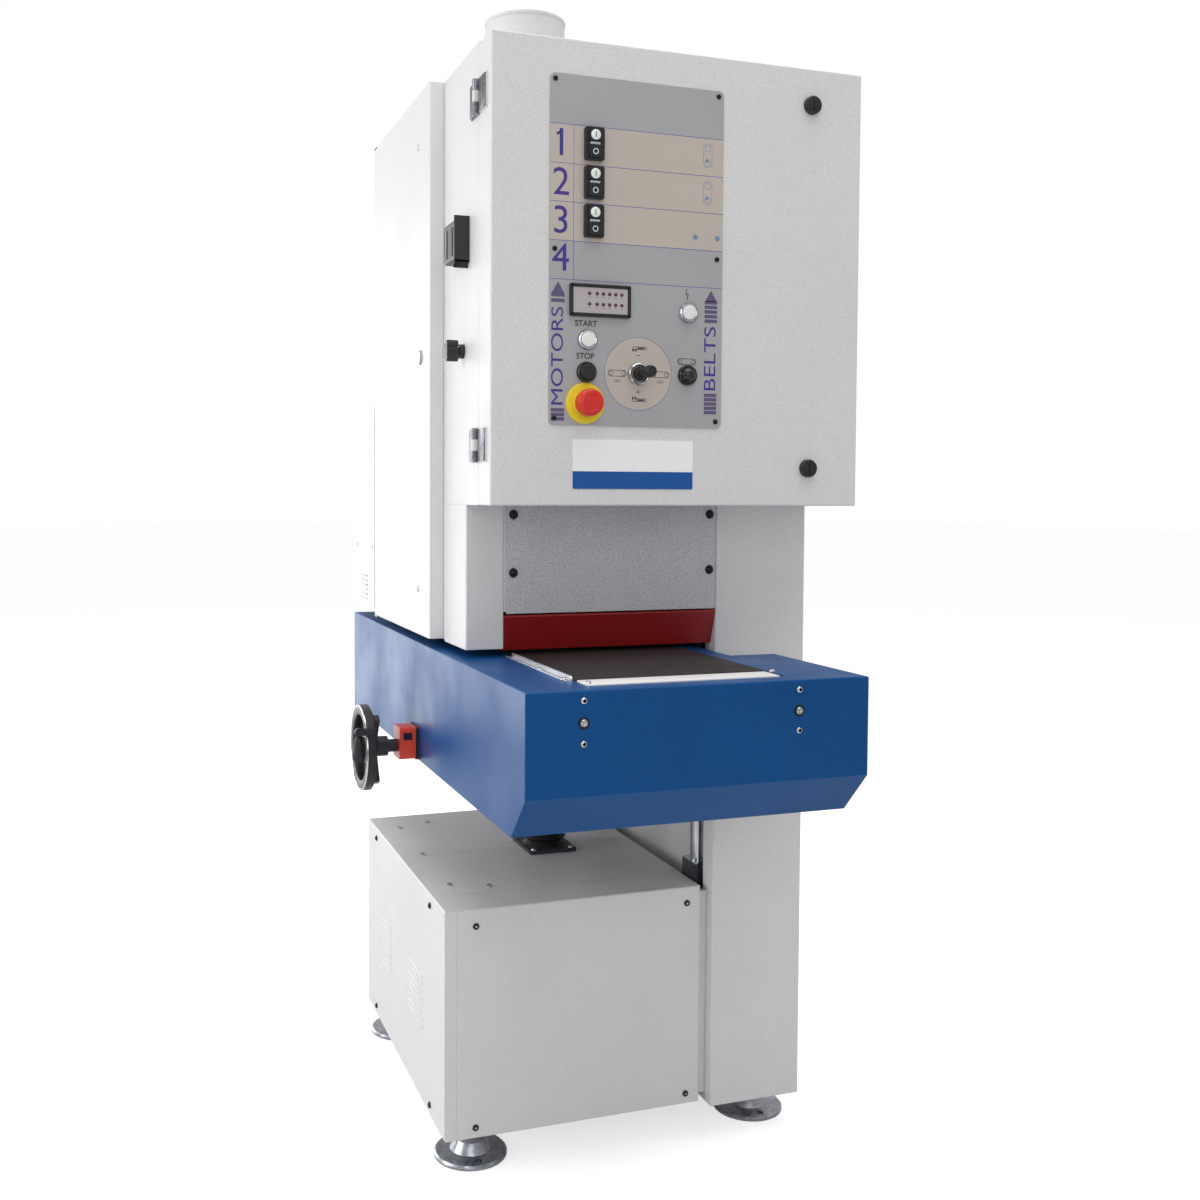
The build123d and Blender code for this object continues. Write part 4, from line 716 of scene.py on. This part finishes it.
pictures = []
for z in (409.6, 353.7):
    pictures.append(printed_loop(253.0, z, 7.6, 21.0, 0.7, 14, True))
    pictures += [printed_loop(253.0, z + side * 10.5, 5.0, 0.0, 0.7, 14) for side in (-1, 1)]
    pictures.append(printed_disc(252.0, z - 7.5, 4.2, 16, 3))
pictures += [printed_disc(x, 287.0, 4.0, 14, 24) for x in (233.5, 270.2)]
hand_over(join("panel_belt_pictures", pictures), "front_door", pale_ink)

for number, (x, z) in enumerate(((8.0, 499.3), (270.5, 499.3), (8.0, 255.5), (270.0, 255.5), (7.8, 10.2),
                                 (269.8, 10.2))):
    head = button_head(f"panel_screw_{number}", (sheet_low.x + x * MM, sheet_low.y, sheet_low.z + z * MM),
                       (0, -1, 0),
                       3.9 * MM, 2.4 * MM, 1.6 * MM)
    hand_over(head, "front_door", black_steel)

# ---------------------------------------------------------------- panel switches and buttons
# Double push switches with a white I key over a black O key and a lens between them, round
# buttons in chromed bezels, a red mushroom stop on a yellow disc, and a two-way stick.
white_gloss = grained("white gloss plastic", (240, 240, 238), (216, 216, 214), 1200.0, 0.2, 0.05, 0.15,
                      0.25, bump=0.04,
                      coat=0.3)
black_gloss = grained("black gloss plastic", (20, 20, 22), (44, 44, 46), 1200.0, 0.2, 0.1, 0.1, 0.22,
                      bump=0.03,
                      coat=0.4)
cover(white_gloss, "start_button", "power_button")
cover(black_gloss, "stop_button", "reset_button", *[f"{k}_key_{n}" for n in (1, 2, 3) for k in ("on", "off")])
lens_grey = grained("clear grey lens", (176, 180, 184), (140, 146, 152), 700.0, 0.3, 0.1, 0.1, 0.2, coat=0.5)
for n in (1, 2, 3):
    low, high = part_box(f"on_key_{n}")
    x, z = (low.x + high.x) / 2, (low.z + high.z) / 2
    face = turned(f"switch_on_face_{n}", [(0, 0.0009), (0.0066, 0.0009), (0.0074, 0.0004), (0.0076, -0.0004),
                                          (0, -0.0004)], (x, low.y, z), (0, -1, 0), 36)
    hand_over(face, f"on_key_{n}", white_gloss)
    mark = block(f"switch_on_mark_{n}", (x - 0.0006, low.y - 0.00105, z - 0.0038), (x + 0.0006, low.y,
            z + 0.0038))
    soften(mark, 0.0003, 2, lambda middle, along: abs(along.y) > 0.9)
    hand_over(mark, f"on_key_{n}", black_mould)
    low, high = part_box(f"off_key_{n}")
    z_off = (low.z + high.z) / 2
    circle = turned(f"switch_off_mark_{n}", [(0.0032, -0.0003), (0.0043, -0.0003), (0.0043, 0.0002),
                                             (0.0032, 0.0002)],
                    (x, low.y, z_off), (0, -1, 0), 32, ring=True)
    hand_over(circle, f"off_key_{n}", white_gloss)
    middle_z = (z + z_off) / 2
    lens = block(f"switch_lens_{n}", (x - 0.0078, low.y + 0.0005, middle_z - 0.0019),
                 (x + 0.0078, low.y + 0.004, middle_z + 0.0019))
    soften(lens, 0.0012, 3, lambda middle, along: abs(along.y) > 0.9 or middle.y < low.y + 0.001)
    hand_over(lens, "front_door", lens_grey)

for name in ("start_button", "stop_button", "power_button", "reset_button"):
    low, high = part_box(name)
    at = ((low.x + high.x) / 2, sheet_low.y, (low.z + high.z) / 2)
    bezel = turned(f"{name}_bezel", [(0.01115, 0.0040), (0.0116, 0.0056), (0.0126, 0.0061), (0.0138, 0.0058),
                                     (0.0150, 0.0044), (0.0154, 0.0010), (0.0154, -0.0002), (0.01115,
                                             -0.0002)],
                   at, (0, -1, 0), 56, ring=True)
    dark = name in ("stop_button", "reset_button")
    hand_over(bezel, "front_door", black_gloss if dark else chrome)
    top = (0.0018, 0.0052) if name == "reset_button" else (0.0004, 0.0004)
    crown = turned(f"{name}_crown", [(0, top[1]), (0.004, top[1] * 0.93), (0.0075, top[1] * 0.62 + 0.0001),
                                     (0.0098, 0.0001), (0.0098, -0.0004), (0, -0.0004)],
                   (at[0], low.y, at[2]), (0, -1, 0), 40)
    hand_over(crown, name,
              white_gloss if name in ("start_button", "power_button") else black_gloss)

yellow = grained("yellow moulded plastic", (244, 214, 24), (222, 190, 10), 900.0, 0.25, 0.06, 0.3, 0.45,
                 bump=0.06)
red_gloss = grained("red mushroom plastic", (222, 38, 26), (176, 20, 14), 900.0, 0.25, 0.1, 0.22, 0.38,
                    bump=0.06, coat=0.2)
cover(red_gloss, "emergency_stop")
low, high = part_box("emergency_stop")
stop_at = ((low.x + high.x) / 2, sheet_low.y, (low.z + high.z) / 2)
hand_over(turned("stop_yellow_disc", [(0.0132, 0.0010), (0.0132, 0.0024), (0.0290, 0.0024), (0.0302, 0.0016),
                                      (0.0302, -0.0002), (0.0132, -0.0002)], stop_at, (0, -1, 0), 72,
                                      ring=True),
          "front_door", yellow)
hand_over(turned("stop_yellow_collar", [(0.0094, 0.0048), (0.0150, 0.0048), (0.0182, 0.0038), (0.0195,
        0.0022),
                                        (0.0195, 0.0010), (0.0094, 0.0010)], stop_at, (0, -1, 0), 56,
                                        ring=True),
          "front_door", yellow)
hand_over(turned("stop_raised_ring", [(0.0118, -0.0004), (0.0126, 0.0004), (0.0136, 0.0004), (0.0142,
        -0.0004)],
                 (stop_at[0], low.y, stop_at[2]), (0, -1, 0), 48, ring=True), "emergency_stop",
                 red_gloss)

cover(chrome, "stick_pivot")
low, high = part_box("stick_pivot")
stick_at = ((low.x + high.x) / 2, sheet_low.y, (low.z + high.z) / 2)
hand_over(turned("stick_bezel", [(0.0133, 0.0030), (0.0136, 0.0068), (0.0148, 0.0072), (0.0163, 0.0060),
                                 (0.0172, 0.0030), (0.0176, -0.0002), (0.0133, -0.0002)],
                 stick_at, (0, -1, 0), 56, ring=True), "front_door", chrome)
stick_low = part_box("joystick")[0]
hand_over(turned("stick_boot", [(0.0044, 0.0130), (0.0070, 0.0125), (0.0092, 0.0090), (0.0102, 0.0055),
                                (0.0100, 0.0042),
                                (0.0044, 0.0042)], (stick_at[0], sheet_low.y - 0.0010, stick_at[2]), (0, -1,
                                        0), 40, ring=True),
          "stick_pivot", black_mould)
hand_over(turned("stick_grip_cap", [(0, 0.0030), (0.0050, 0.0030), (0.0072, 0.0016), (0.0078, -0.0010),
                                    (0.0090, -0.0060),
                                    (0.0092, -0.0100), (0.0084, -0.0120), (0, -0.0120)],
                 (stick_at[0], stick_low.y + 0.0035, stick_at[2]), (0, -1, 0), 40), "joystick",
                 black_mould)

# ---------------------------------------------------------------- lamp display
# A black framed lamp unit let into the panel, with a grey face and two rows of dark red lamps that
# show how far each motor is loaded.
frame_x0, frame_x1, frame_z0, frame_z1 = 31.5, 126.0, 160.0, 206.0
rim_piece = printed(frame_x0 - 0.6, frame_x1 + 0.6, frame_z0 - 0.6, frame_z1 + 0.6, 600)
soften(rim_piece, 0.0022, 3, lambda middle, along: abs(along.y) > 0.9)
pick(rim_piece, "FACE", lambda middle, normal: normal.y < -0.99)
bpy.ops.mesh.inset(thickness=0.0042)
bpy.ops.mesh.extrude_region_move(TRANSFORM_OT_translate={"value": (0, 0.0016, 0)})
soften(rim_piece, 0.0005, 2, lambda middle, along: abs(along.y) < 0.1 and middle.y < sheet_low.y - 0.0058)
hand_over(rim_piece, "front_door", black_mould)
face_grey = grained("grey display face", (186, 178, 178), (170, 162, 164), 900.0, 0.3, 0.05, 0.3, 0.45,
                    bump=0.04)
display = printed(frame_x0 + 4.2, frame_x1 - 4.2, frame_z0 + 4.2, frame_z1 - 4.2, 456)
soften(display, 0.0003, 1)
hand_over(display, "front_door", face_grey)
lamp_red = grained("dark red lamp", (96, 22, 26), (50, 8, 12), 500.0, 0.4, 0.2, 0.12, 0.25, coat=0.6)
lamps, sockets = [], []
for z in (frame_z1 - 13.0, frame_z1 - 28.5):
    for x in (29.5, 41.5, 51.4, 61.2, 70.9, 80.7):
        at = (sheet_low.x + (frame_x0 + x) * MM, sheet_low.y - 0.0045, sheet_low.z + z * MM)
        lamps.append(turned("lamp", [(0, 0.0014), (0.0009, 0.0012), (0.0016, 0.0006), (0.0018, -0.0002), (0,
                -0.0002)], at,
                            (0, -1, 0), 16))
        sockets.append(turned("socket", [(0.0018, -0.0002), (0.0018, 0.0005), (0.0026, 0.0003), (0.0027,
                -0.0002)], at,
                              (0, -1, 0), 20, ring=True))
        sockets.append(printed(frame_x0 + x - 1.6, frame_x0 + x + 1.6, z - 5.6, z - 5.0, 462))
hand_over(join("display_lamps", lamps), "front_door", lamp_red)
hand_over(join("display_lamp_sockets", sockets), "front_door", black_mould)

# ---------------------------------------------------------------- conveyor table
# A folded steel cover in satin blue over the conveyor frame, with a sloping lower front. Its folds
# show paler where the light catches them, and screws in the front hold the roller brackets.
blue_paint = grained("blue powder coat", (0, 76, 138), (0, 56, 108), 560.0, 0.3, 0.10, 0.32, 0.46, bump=0.22,
                     gloss=0.22, edge=(shade(110, 170, 220), 0.0018, 0.5))
cover(blue_paint, "table_cover")
table_low, table_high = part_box("table_cover")
belt_low, belt_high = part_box("conveyor_belt")
front_y = table_low.y + 0.0029
for side, x in enumerate((-0.2325, 0.0855)):
    for level, z in enumerate((table_high.z - 0.0135, table_high.z - 0.0700)):
        head = turned(f"table_front_screw_{side}{level}", [(0, 0.0029), (0.0024, 0.0029), (0.0036, 0.0024),
                                                           (0.0045, 0.0014),
                                                           (0.0048, 0.0004), (0.0048, -0.0003), (0, -0.0003)],
                      (x, front_y, z), (0, -1, 0), 28)
        hand_over(head, "table", bright_steel)
    z = table_high.z - 0.0427
    seat = turned(f"table_adjuster_seat_{side}", [(0.0050, 0.0014), (0.0070, 0.0016), (0.0078, 0.0010),
                                                  (0.0080, -0.0003),
                                                 (0.0050, -0.0003)], (x, front_y, z), (0, -1, 0), 40,
                                                 ring=True)
    hand_over(seat, "table", black_steel)
    head = turned(f"table_adjuster_screw_{side}", [(0, 0.0002), (0.0028, 0.0002), (0.0028, 0.0024), (0.0045,
            0.0024),
                                                   (0.0050, 0.0018), (0.0050, -0.0003), (0, -0.0003)],
                  (x, front_y, z), (0, -1, 0), 36)
    hand_over(head, "table", bright_steel)

# ---------------------------------------------------------------- infeed strip and edge rail
# A white plastic strip bridges the gap in front of the belt, with a bare lip at its back edge. A
# bent aluminium angle guards the belt's left edge. Button head screws hold both to the cover.
strip_white = grained("white plastic strip", (247, 246, 243), (222, 220, 216), 700.0, 0.25, 0.06, 0.3, 0.42,
                      bump=0.06)
top = table_high.z
strip = block("infeed_strip", (belt_low.x + 0.002, front_y + 0.0325, top - 0.0008),
              (belt_high.x - 0.011, front_y + 0.0725, top + 0.0022))
soften(strip, 0.0011, 3, lambda middle, along: middle.z > top + 0.002)
hand_over(strip, "table", strip_white)
lip_steel = drawn("bare lip", (158, 150, 140), (92, 86, 78), (30.0, 600.0, 600.0), 0.25, 0.45, bump=0.05)
lip = block("infeed_lip", (belt_low.x + 0.001, front_y + 0.0720, top - 0.0030),
            (belt_high.x - 0.001, front_y + 0.0765, top + 0.0010))
pick(lip, "EDGE", lambda middle, along: abs(along.x) > 0.9 and middle.y > front_y + 0.076 and middle.z > top)
bpy.ops.mesh.bevel(offset=0.0022, segments=3, affect="EDGES")
hand_over(lip, "table", lip_steel)
aluminium = drawn("drawn aluminium", (236, 237, 240), (208, 210, 215), (400.0, 8.0, 400.0), 0.26, 0.36,
                  bump=0.0)
rail_y0, rail_y1 = -0.6060, -0.3450
foot = block("foot", (belt_low.x - 0.0120, rail_y0, top - 0.0002), (belt_low.x - 0.0012, rail_y1,
                                                                    top + 0.0013))
upright = block("upright", (belt_low.x - 0.0024, rail_y0 + 0.001, top - 0.0002), (belt_low.x - 0.0006,
        rail_y1, top + 0.0062))
pick(upright, "EDGE", lambda middle,
     along: abs(along.x) > 0.9 and middle.y < rail_y0 + 0.002 and middle.z > top + 0.005)
bpy.ops.mesh.bevel(offset=0.0058, segments=6, affect="EDGES")
bpy.ops.object.mode_set(mode="OBJECT")
soften(foot, 0.0004, 2, lambda middle, along: middle.z > top)
hand_over(join("belt_edge_rail", [foot, upright]), "table", aluminium)
tab = block("belt_rail_tab", (belt_low.x - 0.0125, -0.4985, top + 0.0009), (belt_low.x - 0.0022, -0.4845,
        top + 0.0030))
soften(tab, 0.0007, 2)
hand_over(tab, "table", aluminium)
for number, (x, y, z) in enumerate(((-0.2270, -0.5990, top + 0.0011), (-0.2105, -0.6470, top + 0.0020),
                                    (0.0905, -0.6060, top))):
    head = button_head(f"table_top_screw_{number}", (x, y, z), (0, 0, 1), 4.8 * MM, 3.2 * MM)
    hand_over(head, "table", bright_steel)

# ---------------------------------------------------------------- conveyor belt
# An endless rubber belt with a brown-black grip face, lightly dusted and polished along its middle
# by the work.
grip_rubber = grained("ribbed grip rubber", (40, 32, 30), (70, 60, 56), 850.0, 0.55, 0.3, 0.6, 0.85, bump=0.8,
                      bump_depth=0.0005)
cover(grip_rubber, "conveyor_belt")
seam = block("belt_scarf_seam", (belt_low.x + 0.0005, -0.4620, belt_high.z - 0.0004),
             (belt_high.x - 0.0005, -0.4608, belt_high.z + 0.00012))
pick(seam, "FACE", lambda middle, normal: normal.x > 0.9)
bpy.ops.transform.translate(value=(0, 0.012, 0))
soften(seam, 0.0001, 1)
hand_over(seam, "table", grip_rubber)

# ---------------------------------------------------------------- lift screw and bellows
# A trapezoidal screw lifts the table through a nut in a cast flange on the base. Pleated rubber
# bellows keep dust off it.
bellows = grained("bellows rubber", (30, 30, 32), (64, 64, 66), 600.0, 0.4, 0.3, 0.5, 0.75, bump=0.3)
cover(bellows, "lift_bellows")
nut_low, nut_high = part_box("lift_nut")
for number, (sx, sy) in enumerate(((-1, -1), (-1, 1), (1, -1), (1, 1))):
    x = (nut_low.x + nut_high.x) / 2 + sx * ((nut_high.x - nut_low.x) / 2 - 0.0095)
    y = (nut_low.y + nut_high.y) / 2 + sy * ((nut_high.y - nut_low.y) / 2 - 0.0095)
    head = button_head(f"lift_flange_screw_{number}", (x, y, nut_high.z), (0, 0, 1), 5.0 * MM, 3.4 * MM,
                       2.2 * MM)
    hand_over(head, "frame", bright_steel)

# ---------------------------------------------------------------- height indicator
# A red-orange moulded counter on the handwheel shaft, on a black gasket against the table's side,
# with a small clear window over its number wheels.
# Its edges are mixed towards a paler orange, a painted highlight where they catch the light.
counter_red = grained("red-orange moulded counter", (226, 70, 44), (178, 44, 26), 900.0, 0.3, 0.14, 0.3,
                      0.45, bump=0.1,
                      edge=(shade(244, 130, 104), 0.0016, 0.5))
cover(counter_red, "position_indicator")
counter_low, counter_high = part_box("position_indicator")
gasket = block("indicator_gasket", (counter_high.x - 0.0052, counter_low.y - 0.0006, counter_low.z - 0.0006),
               (counter_high.x - 0.0002, counter_high.y + 0.0006, counter_high.z + 0.0006))
soften(gasket, 0.0040, 4, lambda middle, along: abs(along.x) > 0.9)
hand_over(gasket, "table", black_mould)
window = block("indicator_window", (counter_low.x + 0.0065, counter_low.y - 0.0002, counter_high.z - 0.0215),
               (counter_low.x + 0.0215, counter_low.y + 0.0022, counter_high.z - 0.0095))
pick(window, "FACE", lambda middle, normal: normal.y < -0.9)
bpy.ops.mesh.inset(thickness=0.0012)
bpy.ops.mesh.extrude_region_move(TRANSFORM_OT_translate={"value": (0, 0.0007, 0)})
bpy.ops.object.mode_set(mode="OBJECT")
hand_over(window, "table", black_gloss)

# ---------------------------------------------------------------- handwheel
# A black moulded wheel with a broad rim, a dished middle and a metal front edge band, and a black
# tapered grip that folds out from its rim.
cover(black_mould, "handwheel", "wheel_grip")
shaft_y, shaft_z = -0.1010, counter_low.z + 0.022
rim_x = table_low.x - 0.090
wheel_at = (rim_x, shaft_y, shaft_z)
tread = turned("handwheel_rim", [(0.0560, 0.0072), (0.0600, 0.0084), (0.0700, 0.0084), (0.0722, 0.0066),
                                 (0.0726, 0.0),
                                 (0.0722, -0.0070), (0.0700, -0.0086), (0.0610, -0.0086), (0.0565, -0.0070),
                                 (0.0545, 0.0)], wheel_at, (-1, 0, 0), 96, ring=True)
hand_over(tread, "handwheel", black_mould)
edge_band = turned("handwheel_edge_band", [(0.0690, 0.0080), (0.0700, 0.0089), (0.0716, 0.0082), (0.0722,
        0.0064),
                                           (0.0700, 0.0070)], wheel_at, (-1, 0, 0), 96, ring=True)
hand_over(edge_band, "handwheel", chrome)
dish = turned("handwheel_dish", [(0.0090, 0.0010), (0.0180, 0.0005), (0.0300, -0.0035), (0.0480, -0.0060),
                                 (0.0570, -0.0040),
                                 (0.0570, -0.0065), (0.0470, -0.0085), (0.0290, -0.0065), (0.0180, -0.0040),
                                 (0.0090, -0.0040)], wheel_at, (-1, 0, 0), 72, ring=True)
hand_over(dish, "handwheel", black_mould)
boss = turned("handwheel_boss", [(0, 0.0068), (0.0050, 0.0068), (0.0060, 0.0056), (0.0150, 0.0050), (0.0172,
        0.0030),
                                 (0.0178, 0.0), (0.0178, -0.0180), (0.0140, -0.0210), (0.0110, -0.0215),
                                 (0.0110, -0.0560), (0, -0.0560)], wheel_at, (-1, 0, 0), 48)
hand_over(boss, "handwheel", black_mould)
grip_low, grip_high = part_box("wheel_grip")
grip_x, grip_y = (grip_low.x + grip_high.x) / 2, (grip_low.y + grip_high.y) / 2
cap = turned("wheel_grip_cap", [(0, 0.0), (0.0060, 0.0002), (0.0092, 0.0020), (0.0108, 0.0060), (0.0110,
        0.0100),
                                (0.0107, 0.0130), (0, 0.0130)], (grip_x, grip_y, grip_low.z), (0, 0, 1), 40)
hand_over(cap, "wheel_grip", black_mould)

# ---------------------------------------------------------------- studio
# Not part of the machine: a plain pale floor that the camera sees as white, soft light mostly from
# the left, and the camera at chest height in front of the machine's left side.
deselect()
bpy.ops.mesh.primitive_plane_add(size=60, location=(0, 10, cad_box[0][2]))
floor = bpy.context.object
floor.name = "studio_floor"
floor_coat = grained("pale floor", (225, 225, 226), (218, 218, 219), 30.0, 0.15, 0.01, 0.8, 0.9, bump=0.01,
                     gloss=0.1)
glow = floor_coat.node_tree.nodes["Principled BSDF"]
glow.inputs["Emission Color"].default_value = (1, 1, 1, 1)
seen_by = place(floor_coat.node_tree, "ShaderNodeLightPath")
camera_share = place(floor_coat.node_tree, "ShaderNodeMath", {"operation": "MULTIPLY"})
camera_share.inputs[1].default_value = 0.60
floor_coat.node_tree.links.new(seen_by.outputs["Is Camera Ray"], camera_share.inputs[0])
floor_coat.node_tree.links.new(camera_share.outputs[0], glow.inputs["Emission Strength"])
floor.data.materials.append(floor_coat)

world = bpy.data.worlds.new("studio")
bpy.context.scene.world = world
world.use_nodes = True
tree = world.node_tree
lit, seen = place(tree, "ShaderNodeBackground", Strength=0.50), place(tree, "ShaderNodeBackground",
                                                                      Strength=1.0)
for shader in (lit, seen):
    shader.inputs["Color"].default_value = (1, 1, 1, 1)
choose, path = place(tree, "ShaderNodeMixShader"), place(tree, "ShaderNodeLightPath")
tree.links.new(path.outputs["Is Camera Ray"], choose.inputs[0])
tree.links.new(lit.outputs[0], choose.inputs[1])
tree.links.new(seen.outputs[0], choose.inputs[2])
tree.links.new(choose.outputs[0], tree.nodes["World Output"].inputs["Surface"])


def lamp(name, place_at, aim, size, power):
    """A square soft light aimed at a point."""
    light = bpy.data.lights.new(name, "AREA")
    light.size, light.energy = size, power
    holder = bpy.data.objects.new(name, light)
    holder.location = place_at
    holder.visible_camera = False
    holder.rotation_euler = (Vector(aim) - Vector(place_at)).to_track_quat("-Z", "Y").to_euler()
    bpy.context.scene.collection.objects.link(holder)


lamp("key_left", (-3.8, 0.1, 2.2), (0, 0, 1.0), 2.6, 64)
lamp("back_left", (-1.7, 3.2, 0.9), (-0.3, 0, 0.8), 2.8, 56)
lamp("overhead", (0.0, -0.8, 4.6), (0, 0, 0), 3.6, 90)
lamp("front_soft", (-1.2, -4.2, 2.2), (0, 0, 1.0), 2.4, 22)

yaw, pitch, roll = (math.radians(a) for a in (18.407, -2.285, 0.214))
ahead = Vector((math.sin(yaw) * math.cos(pitch), math.cos(yaw) * math.cos(pitch), math.sin(pitch)))
level = Vector((math.cos(yaw), -math.sin(yaw), 0))
upward = level.cross(ahead)
right = math.cos(roll) * level + math.sin(roll) * upward
upward = math.cos(roll) * upward - math.sin(roll) * level
camera = bpy.data.objects.new("camera", bpy.data.cameras.new("camera"))
camera.data.sensor_width = 36
camera.data.lens = 37.27
camera.data.shift_x = 0.0689
camera.data.shift_y = -0.0474
columns = Matrix((right, upward, -ahead)).transposed().to_4x4()
camera.matrix_world = Matrix.Translation((-0.8197, -2.1778, 1.0847)) @ columns
bpy.context.scene.collection.objects.link(camera)
bpy.context.scene.camera = camera
bpy.context.scene.view_settings.view_transform = "Standard"
